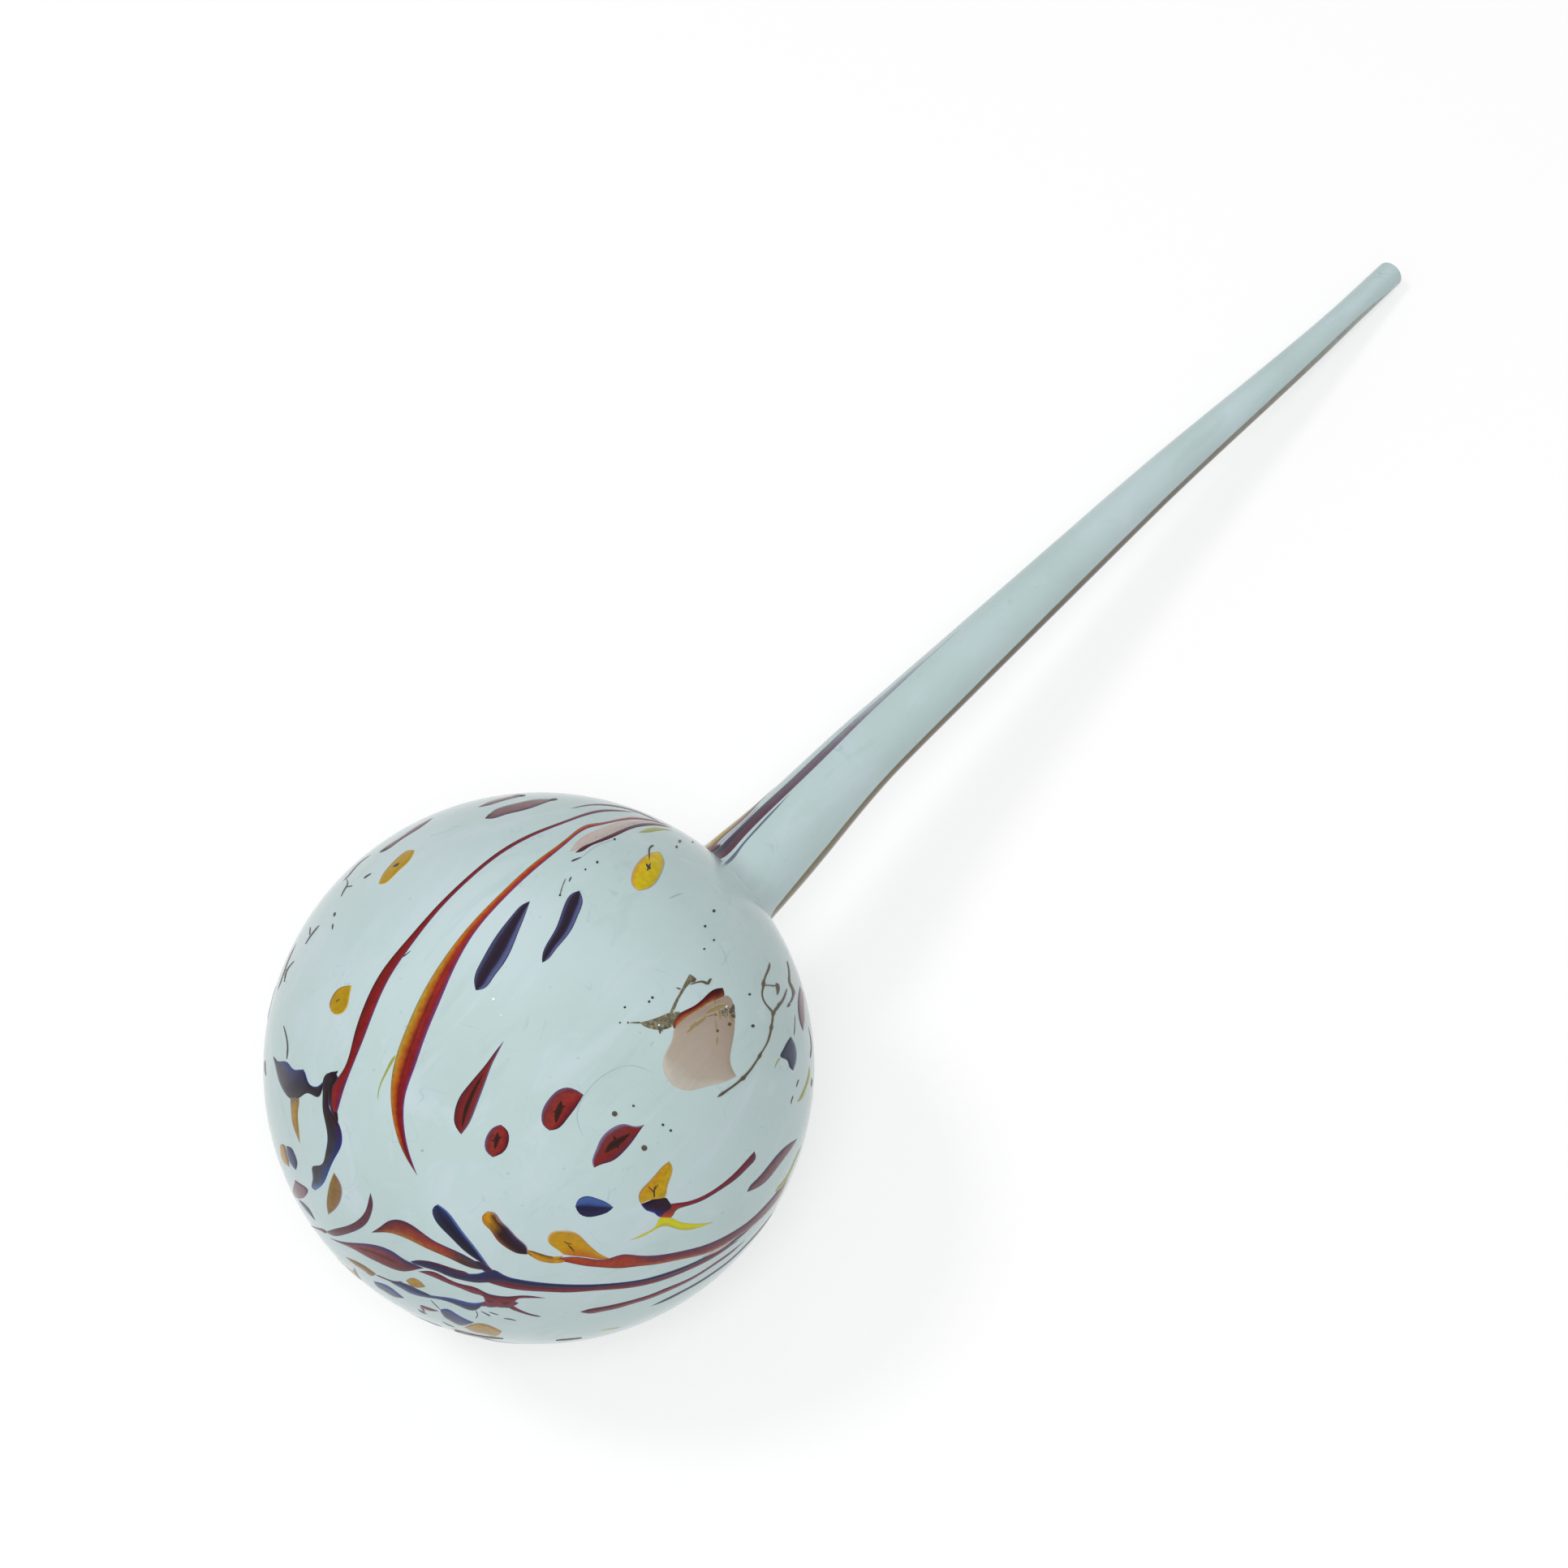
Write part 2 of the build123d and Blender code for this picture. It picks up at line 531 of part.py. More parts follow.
for name, outlines in outlines_px.items():
    blanks = []
    for turn in turns.get(name, (0,)):
        for first_px, second_px in outlines:
            sides = side_of(first_px, turn), side_of(second_px, turn)
            blanks.append(blank(*sides, sum(sides[0], Vector()).normalized()))
    lay(name, blanks, [window_zone if name == "tan_window" else ball_zone], ball_shell(globe_radius, 0))

for name, streaks in streak_shares.items():
    blanks = []
    for spots in streaks:
        outward = around(sum(first + second for share, first, second in spots) / (2 * len(spots)))
        blanks.append(blank(*streak_sides(spots), outward))
    lay(name, blanks, [neck_zone, stem_zone], whole_surface.part)

# The white glass, with the beds of the coloured pieces in it
with BuildPart() as globe_white_cut:
    add(globe_surface)
    add(globe_form(white_wall, overrun), mode=Mode.SUBTRACT)
    add([bed.part for bed in beds.values()], mode=Mode.SUBTRACT)

# The skin itself, without the crumbs that are left where two beds meet
with BuildPart() as globe_white_skin:
    add(globe_white_cut.part.solids().sort_by(SortBy.VOLUME)[-1])

with BuildPart() as stem_white_skin:
    add(stem_surface)
    add(stem_form(white_depth, overrun), mode=Mode.SUBTRACT)
    lip_edges = stem_white_skin.edges().sort_by(stem_axis)[-2:]
    fillet(lip_edges.sort_by(SortBy.LENGTH)[-1], lip_round)
    add([beds[name].part for name in streak_shares], mode=Mode.SUBTRACT)

# The clear glass inside it
with BuildPart() as globe_clear_wall:
    add(globe_form(white_wall, 0))
    add(globe_form(white_wall + clear_wall, overrun), mode=Mode.SUBTRACT)

with BuildPart() as stem_clear_wall:
    add(stem_form(white_depth, 0))
    add(stem_form(full_depth, overrun), mode=Mode.SUBTRACT)
    lip_edges = stem_clear_wall.edges().sort_by(stem_axis)[-2:]
    fillet(lip_edges.sort_by(SortBy.LENGTH)[0], lip_round)

parts = {
    "globe_white_skin": globe_white_skin,
    "globe_clear_wall": globe_clear_wall,
    "stem_white_skin": stem_white_skin,
    "stem_clear_wall": stem_clear_wall,
    **inlays,
}

os.makedirs("parts", exist_ok=True)
for name, piece in parts.items():
    piece.part.label = name
    export_step(piece.part, f"parts/{name}.step")
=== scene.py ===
import math

import bpy
import numpy as np
from mathutils import Matrix


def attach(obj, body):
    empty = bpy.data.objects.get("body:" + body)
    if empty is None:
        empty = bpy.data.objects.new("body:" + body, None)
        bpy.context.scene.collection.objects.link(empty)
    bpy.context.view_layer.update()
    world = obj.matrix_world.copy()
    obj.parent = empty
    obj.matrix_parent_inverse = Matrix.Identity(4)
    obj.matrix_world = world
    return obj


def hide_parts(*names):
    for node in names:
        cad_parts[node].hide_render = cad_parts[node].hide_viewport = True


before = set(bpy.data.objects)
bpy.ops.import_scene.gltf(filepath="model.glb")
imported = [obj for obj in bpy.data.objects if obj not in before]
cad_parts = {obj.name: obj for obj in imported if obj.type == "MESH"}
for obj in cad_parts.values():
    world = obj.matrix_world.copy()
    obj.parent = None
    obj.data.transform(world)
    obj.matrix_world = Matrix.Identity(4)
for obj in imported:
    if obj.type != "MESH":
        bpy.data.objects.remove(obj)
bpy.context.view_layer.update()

# A hand-blown glass watering globe: white glass with coloured streaks, leaves and chips melted into it.
# Sizes are in millimetres, as in the solids, and become metres where a mesh is made.
mm_per_m = 1000
globe_radius = 40
stem_reach = 230
neck_reach = 50
neck_radius = 7.3
neck_flare = 1.05
flare_length = 42
neck_blend_radius = 9
stem_end_radius = 2.5
stem_end_length = 15
stem_bow = 1.3
bow_rise_length = 32
bow_fall_length = 65
white_wall = 0.7
stem_end_white_wall = 0.5
lip_round = 0.3

# The white glass lies a hair under the size of the solids, and the coloured glass stands up to it
skin_recess = 0.06
sink_depth = 0.3
dome_width = 0.55

# Fineness of the patches: spacing in mm, and fewest and most rows and columns
row_step, row_limits = 0.55, (10, 150)
column_step, column_limits = 0.35, (6, 22)
rough_points = 24
# Added at a patch's tips, so that neither its height nor its rims end in nothing
tip_height_run, tip_rim_run = 0.02, 0.05
sharp_angle = math.radians(50)

taper_length = stem_reach - stem_end_length - neck_reach
taper_slope = (neck_radius - neck_flare - stem_end_radius) / taper_length
neck_slope = taper_slope + 2 * neck_flare / flare_length
lip_reach = stem_reach - lip_round
lip_radius = stem_end_radius - lip_round
lip_angle = math.atan2(lip_radius, lip_reach)
droop = math.asin((globe_radius - lip_round) / math.hypot(lip_reach, lip_radius)) - lip_angle
front_reach = lip_reach * math.cos(droop) + lip_radius * math.sin(droop) + lip_round
globe_centre = np.array([(globe_radius - front_reach) / 2, 0, globe_radius])
stem_direction = np.array([math.cos(droop), 0, -math.sin(droop)])
left = np.array([0, 1, 0])

# The viewer of the photograph
view_elevation = math.radians(60.4)
view_heading = math.radians(39.7)
picture_width_px = 1932
picture_middle_px = np.array([966, 966])
focal_px = 4200
globe_middle_px = np.array([665.8, 1313.9])
globe_radius_px = 339.5
sensor_width_mm = 36

heading = np.array([math.cos(view_heading), math.sin(view_heading), 0])
upward = np.array([0, 0, 1])
view_right = np.cross(heading, upward)
view_ahead = heading * math.cos(view_elevation) - upward * math.sin(view_elevation)
view_up = np.cross(view_right, view_ahead)
view_depth = globe_radius * math.sqrt((focal_px / globe_radius_px) ** 2 + 1)


def unit(vectors):
    return vectors / np.linalg.norm(vectors, axis=-1, keepdims=True)


def sight_lines(spots_px):
    offset = (np.asarray(spots_px, float) - picture_middle_px) / focal_px
    return view_ahead + offset[..., :1] * view_right - offset[..., 1:] * view_up


to_globe = sight_lines(globe_middle_px) * view_depth
facing = unit(stem_direction * to_globe.dot(stem_direction) - to_globe)
aside = np.cross(stem_direction, facing)


def around(turn):
    """Directions square to the stem, turned in degrees from the viewer's side."""
    angle = np.radians(turn)
    return np.cos(angle)[..., None] * facing + np.sin(angle)[..., None] * aside


def on_globe(turn):
    """Map from the photograph's pixels to the globe, turned around the stem."""

    def place(spots_px):
        rays = unit(sight_lines(spots_px))
        along = rays @ to_globe
        half_chord = np.sqrt(np.maximum(along**2 - to_globe.dot(to_globe) + globe_radius**2, 0))
        out = unit(rays * (along - half_chord)[..., None] - to_globe)
        flat = (out @ stem_direction)[..., None] * stem_direction
        angle = math.radians(turn)
        out = flat + (out - flat) * math.cos(angle) + np.cross(stem_direction, out) * math.sin(angle)
        return globe_centre + out * globe_radius, out

    return place


# The outline that is turned around the stem's axis: ball, neck blend, neck and stem


def blend_middle(rounds=20):
    """Middle of the fillet that touches both the globe and the neck, closer with each round."""
    across = neck_radius + neck_blend_radius
    for _ in range(rounds):
        reach = math.sqrt((globe_radius + neck_blend_radius) ** 2 - across**2)
        wall = neck_radius + neck_slope * (neck_reach - reach)
        across = wall + neck_blend_radius * math.hypot(1, neck_slope)
    return np.array([reach, across])


blend_spot = blend_middle()
ball_end = blend_spot * globe_radius / (globe_radius + neck_blend_radius)
neck_start = blend_spot - neck_blend_radius * np.array([neck_slope, 1]) / math.hypot(1, neck_slope)


def bow_at(reach):
    rise = np.clip((reach - neck_reach) / bow_rise_length, 0, 1)
    fall = np.clip((neck_reach + taper_length - reach) / bow_fall_length, 0, 1)
    return stem_bow * (1 - np.cos(np.pi * rise)) / 2 * (1 - np.cos(np.pi * fall)) / 2


def axis_at(reach):
    return globe_centre + reach[..., None] * stem_direction + bow_at(reach)[..., None] * left


def form_radius(reach):
    """Radius of the object's surface at a distance from the globe's centre along the stem."""
    reach = np.asarray(reach, float)
    ball = np.sqrt(np.maximum(globe_radius**2 - reach**2, 0))
    blend = blend_spot[1] - np.sqrt(np.maximum(neck_blend_radius**2 - (reach - blend_spot[0]) ** 2, 0))
    neck = neck_radius + neck_slope * (neck_reach - reach)
    flare = neck_flare * (np.maximum(neck_reach + flare_length - reach, 0) / flare_length) ** 2
    stem = stem_end_radius + taper_slope * np.maximum(neck_reach + taper_length - reach, 0) + flare
    return np.select([reach < ball_end[0], reach < neck_start[0], reach < neck_reach], [ball, blend, neck], stem)


def on_form(spots, step=0.05):
    """Map from reach and turn to the surface of the neck and the stem."""
    reach, turn = spots[..., 0], spots[..., 1]
    slope = (form_radius(reach + step) - form_radius(reach - step)) / (2 * step)
    out = unit(around(turn) - slope[..., None] * stem_direction)
    return axis_at(reach) + around(turn) * form_radius(reach)[..., None], out


# Mesh code


def smooth_path(spots, count):
    """Points on the natural cubic curve through the spots."""
    spots = np.asarray(spots, float)
    knots = np.concatenate([[0], np.cumsum(np.linalg.norm(np.diff(spots, axis=0), axis=1))])
    step = np.diff(knots)
    system, right = np.eye(len(spots)), np.zeros_like(spots)
    for i in range(1, len(spots) - 1):
        system[i, i - 1 : i + 2] = step[i - 1], 2 * (step[i - 1] + step[i]), step[i]
        right[i] = 6 * ((spots[i + 1] - spots[i]) / step[i] - (spots[i] - spots[i - 1]) / step[i - 1])
    bend = np.linalg.solve(system, right)
    at = np.linspace(0, knots[-1], count)
    k = np.clip(np.searchsorted(knots, at, side="right") - 1, 0, len(step) - 1)
    before, after, gap = (at - knots[k])[:, None], (knots[k + 1] - at)[:, None], step[k][:, None]
    curve = (bend[k] * after**3 + bend[k + 1] * before**3) / (6 * gap)
    curve += (spots[k] / gap - bend[k] * gap / 6) * after
    return curve + (spots[k + 1] / gap - bend[k + 1] * gap / 6) * before


class Patches:
    """Gathers the closed, slightly domed patches of coloured glass that make one piece."""

    def __init__(self):
        self.spots, self.faces, self.looks, self.values = [], [], [], []

    def add(self, place, first, second, look, rise=1, lift=0):
        """One patch between two sides that meet at both ends; the second has only its inner points.

        rise: height of the dome, as a share of the skin's recess. lift: the same, for the whole patch.
        """
        rough_length = np.linalg.norm(np.diff(place(smooth_path(first, rough_points))[0], axis=0), axis=1).sum()
        rows = int(np.clip(rough_length / row_step, *row_limits))
        side_a = smooth_path(first, rows)
        side_b = smooth_path([first[0], *second, first[-1]], rows)
        edge_a, edge_b = place(side_a)[0], place(side_b)[0]
        width = np.linalg.norm(edge_a - edge_b, axis=1)
        columns = int(np.clip(width.max() / column_step, *column_limits))
        across = (1 - np.cos(np.pi * np.linspace(0, 1, columns))) / 2
        grid = side_a[:, None] * (1 - across)[None, :, None] + side_b[:, None] * across[None, :, None]
        surface, out = place(grid)
        from_a = np.linalg.norm(surface - edge_a[:, None], axis=2)
        from_b = np.linalg.norm(surface - edge_b[:, None], axis=2)
        run = np.concatenate([[0], np.cumsum(np.linalg.norm(np.diff((edge_a + edge_b) / 2, axis=0), axis=1))])
        tips = np.minimum(run, run[-1] - run)[:, None]
        inset = np.clip(np.minimum(np.minimum(from_a, from_b), tips + tip_height_run) / dome_width, 0, 1)
        height = inset * inset * (3 - 2 * inset) * rise + lift
        top = surface - out * (skin_recess * (1 - height))[..., None]
        bottom = surface - out * sink_depth
        along = np.repeat((run / run[-1])[:, None], columns, axis=1)
        share = np.repeat(across[None], rows, axis=0)
        rims = [np.minimum(distance, tips + tip_rim_run) for distance in (from_a, from_b)]
        table = np.stack([along, share, *rims], -1)

        base = sum(len(s) for s in self.spots)
        layer_size = (rows - 2) * columns + 2

        def number(row, column, layer):
            start = base + layer * layer_size
            if row == 0:
                return start
            if row == rows - 1:
                return start + layer_size - 1
            return start + 1 + (row - 1) * columns + column

        for sheet in (top, bottom):
            self.spots.append(np.vstack([sheet[0, :1], sheet[1:-1].reshape(-1, 3), sheet[-1, :1]]))
            self.values.append(np.vstack([table[0, :1], table[1:-1].reshape(-1, 4), table[-1, :1]]))
        quads = []
        for row in range(rows - 1):
            for column in range(columns - 1):
                ring = [(row, column), (row + 1, column), (row + 1, column + 1), (row, column + 1)]
                quads.append([number(r, c, 0) for r, c in ring])
                quads.append([number(r, c, 1) for r, c in reversed(ring)])
            for column, order in ((0, 1), (columns - 1, -1)):
                ring = [(row, 0), (row, 1), (row + 1, 1), (row + 1, 0)]
                quads.append([number(r, column, layer) for r, layer in ring][::order])
        middle_row, middle_column = rows // 2, columns // 2
        corner, side, next_row = surface[middle_row, 0], surface[middle_row, -1], surface[middle_row + 1, 0]
        turned = np.dot(np.cross(next_row - corner, side - corner), out[middle_row, middle_column]) < 0
        for quad in quads:
            ring = list(dict.fromkeys(quad))
            self.faces.append(ring[::-1] if turned else ring)
            self.looks.append(look)

    def ribbon(self, place, spots, look, lift):
        """A narrow patch along a path; each spot is two coordinates and a width."""
        path, widths = spots[:, :2], spots[:, 2]
        count = 2 * len(path) + 1
        middle = smooth_path(path, count)
        lie = unit(np.gradient(middle, axis=0))
        square = np.stack([-lie[:, 1], lie[:, 0]], 1)
        half_width = np.interp(np.linspace(0, 1, count), np.linspace(0, 1, len(widths)), widths)[:, None] / 2
        first, second = middle + square * half_width, middle - square * half_width
        first[0], first[-1] = middle[0], middle[-1]
        self.add(place, first, second[1:-1], look, lift=lift)

    def dot(self, place, spot, radius, look, lift, rise=0.8, points=7):
        """A small round patch; each half of its rim has this many points."""
        angles = np.linspace(0, np.pi, points)
        rim = np.stack([-np.cos(angles), np.sin(angles)], 1) * radius
        self.add(place, rim + spot, (rim * [1, -1] + spot)[1:-1], look, rise, lift)

    def mesh(self, name):
        looks = sorted(set(self.looks))
        mesh = bpy.data.meshes.new(name)
        mesh.from_pydata(np.vstack(self.spots) / mm_per_m, [], self.faces)
        table = np.vstack(self.values)
        for column, key in enumerate(("along", "across", "from_a", "from_b")):
            layer = mesh.attributes.new(key, "FLOAT", "POINT")
            layer.data.foreach_set("value", table[:, column].astype(np.float32))
        for look in looks:
            mesh.materials.append(materials[look])
        mesh.polygons.foreach_set("material_index", [looks.index(look) for look in self.looks])
        mesh.polygons.foreach_set("use_smooth", [True] * len(self.faces))
        mesh.set_sharp_from_angle(angle=sharp_angle)
        mesh.update()
        return mesh


def show(mesh, nodes):
    piece = bpy.data.objects.new(mesh.name, mesh)
    bpy.context.scene.collection.objects.link(piece)
    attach(piece, "root")
    if nodes:
        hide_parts(*nodes)


# Materials


def linear(colour):
    """A colour read off the photograph (0 to 255) as the shader takes it."""
    shares = [c / 255 for c in colour]
    return (*[c / 12.92 if c <= 0.04045 else ((c + 0.055) / 1.055) ** 2.4 for c in shares], 1.0)


class Nodes:
    """A material's node tree, with short calls for the nodes used here."""

    def __init__(self, name):
        self.material = bpy.data.materials.new(name)
        self.material.use_nodes = True
        self.tree = self.material.node_tree
        self.shader = self.tree.nodes["Principled BSDF"]

    def feed(self, socket, value):
        """Link another node's output to a socket, or set a number or a colour on it."""
        if isinstance(value, bpy.types.NodeSocket):
            self.tree.links.new(value, socket)
        else:
            socket.default_value = value

    def finish(self, values):
        """Feed the shader's own sockets."""
        for key, value in values.items():
            self.feed(self.shader.inputs[key], value)
        return self.material

    def node(self, kind, **settings):
        node = self.tree.nodes.new(kind)
        for key, value in settings.items():
            setattr(node, key, value)
        return node

    def attribute(self, name):
        return self.node("ShaderNodeAttribute", attribute_name=name).outputs["Fac"]

    def coordinates(self, stretch=None):
        """Place in the object, which stretch turns by its first three values and scales by its last."""
        spot = self.node("ShaderNodeTexCoord").outputs["Object"]
        if stretch is None:
            return spot
        mapping = self.node("ShaderNodeMapping")
        for key, value in zip(("Vector", "Rotation", "Scale"), (spot, *stretch)):
            self.feed(mapping.inputs[key], value)
        return mapping.outputs["Vector"]

    def noise(self, size_mm, detail=3, roughness=0.55, distortion=0, stretch=None):
        node = self.node("ShaderNodeTexNoise")
        values = (self.coordinates(stretch), mm_per_m / size_mm, detail, roughness, distortion)
        for key, value in zip(("Vector", "Scale", "Detail", "Roughness", "Distortion"), values):
            self.feed(node.inputs[key], value)
        return node.outputs["Fac"]

    def math(self, operation, *values):
        node = self.node("ShaderNodeMath", operation=operation)
        for socket, value in zip(node.inputs, values):
            self.feed(socket, value)
        return node.outputs[0]

    def swing(self, noise, reach):
        """A noise as a shift to both sides of nothing."""
        return self.math("MULTIPLY", self.math("SUBTRACT", noise, 0.5), reach)

    def off_middle(self, value, middle=0.5):
        return self.math("ABSOLUTE", self.math("SUBTRACT", value, middle))

    def span(self, value, between, to=(0, 1)):
        """Ease from one number to the other while the value runs between two levels."""
        node = self.node("ShaderNodeMapRange", interpolation_type="SMOOTHSTEP")
        for key, number in zip(("Value", "From Min", "From Max", "To Min", "To Max"), (value, *between, *to)):
            self.feed(node.inputs[key], number)
        return node.outputs["Result"]

    def ramp(self, value, stops):
        """Colours over a value; each stop is a position and a colour."""
        node = self.node("ShaderNodeValToRGB")
        elements = node.color_ramp.elements
        while len(elements) < len(stops):
            elements.new(0.5)
        for element, (at, *colour) in zip(elements, stops):
            element.position = at
            element.color = linear(colour)
        self.feed(node.inputs["Fac"], value)
        return node.outputs["Color"]

    def mix(self, factor, a, b):
        node = self.node("ShaderNodeMix", data_type="RGBA")
        share = next(s for s in node.inputs if s.name == "Factor" and s.type == "VALUE")
        colours = [s for s in node.inputs if s.name in ("A", "B") and s.type == "RGBA"]
        for socket, value in zip((share, *colours), (factor, a, b)):
            self.feed(socket, value)
        return next(s for s in node.outputs if s.type == "RGBA")

    def tint(self, colour, share, shade):
        """Lay a shade read off the photograph over a colour."""
        return self.mix(share, colour, linear(shade))

    def bump(self, height, distance_mm, strength):
        node = self.node("ShaderNodeBump")
        for key, value in zip(("Height", "Distance", "Strength"), (height, distance_mm / mm_per_m, strength)):
            self.feed(node.inputs[key], value)
        return node.outputs["Normal"]


# How the coloured glass is shaded, in shares if not said otherwise
glass_ior, glass_shine = 1.5, 0.14
depth_colour, depth_levels = (30, 18, 20), (0.3, 0.75)
along_sway, rim_sway = 0.12, 0.8
core_full, core_end_full, rim_full, rim_strength = 0.3, 0.6, 0.35, 0.92


def coloured_glass(name, stages, rim_a=None, rim_b=None, core=None, grain=0.1, depth=(0.2, 0.5)):
    """Coloured glass whose colours run across the piece and change along it.

    stages: share along, then the stops across, from one end of the piece to the other.
    rim_a, rim_b: width in mm, then colour of the darker or paler line along each side.
    core: colour, half width, from, to of the dark line or spot in the middle, in shares.
    grain: how far the fine noise shifts the colours across.
    depth: least and greatest share of the dark seen in the depth of the glass.
    """
    nodes = Nodes(name)
    broad = nodes.noise(size_mm=5, detail=2)
    shift = nodes.swing(nodes.noise(size_mm=1.6, detail=4, distortion=0.6), grain)
    across = nodes.math("ADD", nodes.attribute("across"), shift)
    along = nodes.math("ADD", nodes.attribute("along"), nodes.swing(broad, along_sway))
    (before, *stops), *later_stages = stages
    colour = nodes.ramp(across, stops)
    for here, *stops in later_stages:
        colour = nodes.mix(nodes.span(along, (before, here)), colour, nodes.ramp(across, stops))
        before = here
    streaks = nodes.noise(size_mm=0.9, detail=5, roughness=0.65)
    colour = nodes.tint(colour, nodes.span(streaks, depth_levels, depth), depth_colour)
    if core:
        shade, half, start, end = core
        middle, reach = (start + end) / 2, (end - start) / 2
        line = nodes.span(nodes.off_middle(across), (half * core_full, half), (1, 0))
        window = nodes.span(nodes.off_middle(along, middle), (reach * core_end_full, reach), (1, 0))
        colour = nodes.tint(colour, nodes.math("MULTIPLY", line, window), shade)
    for key, rim in (("from_a", rim_a), ("from_b", rim_b)):
        if rim:
            width, *shade = rim
            edge = nodes.math("ADD", nodes.attribute(key), nodes.math("MULTIPLY", shift, rim_sway))
            colour = nodes.tint(colour, nodes.span(edge, (width * rim_full, width), (rim_strength, 0)), shade)
    return nodes.finish({
        "Base Color": colour,
        "Roughness": nodes.span(broad, (0.3, 0.7), (0.05, 0.14)),
        "Normal": nodes.bump(nodes.noise(size_mm=2.5, detail=2), distance_mm=0.05, strength=0.25),
        "IOR": glass_ior,
        "Specular IOR Level": glass_shine,
    })


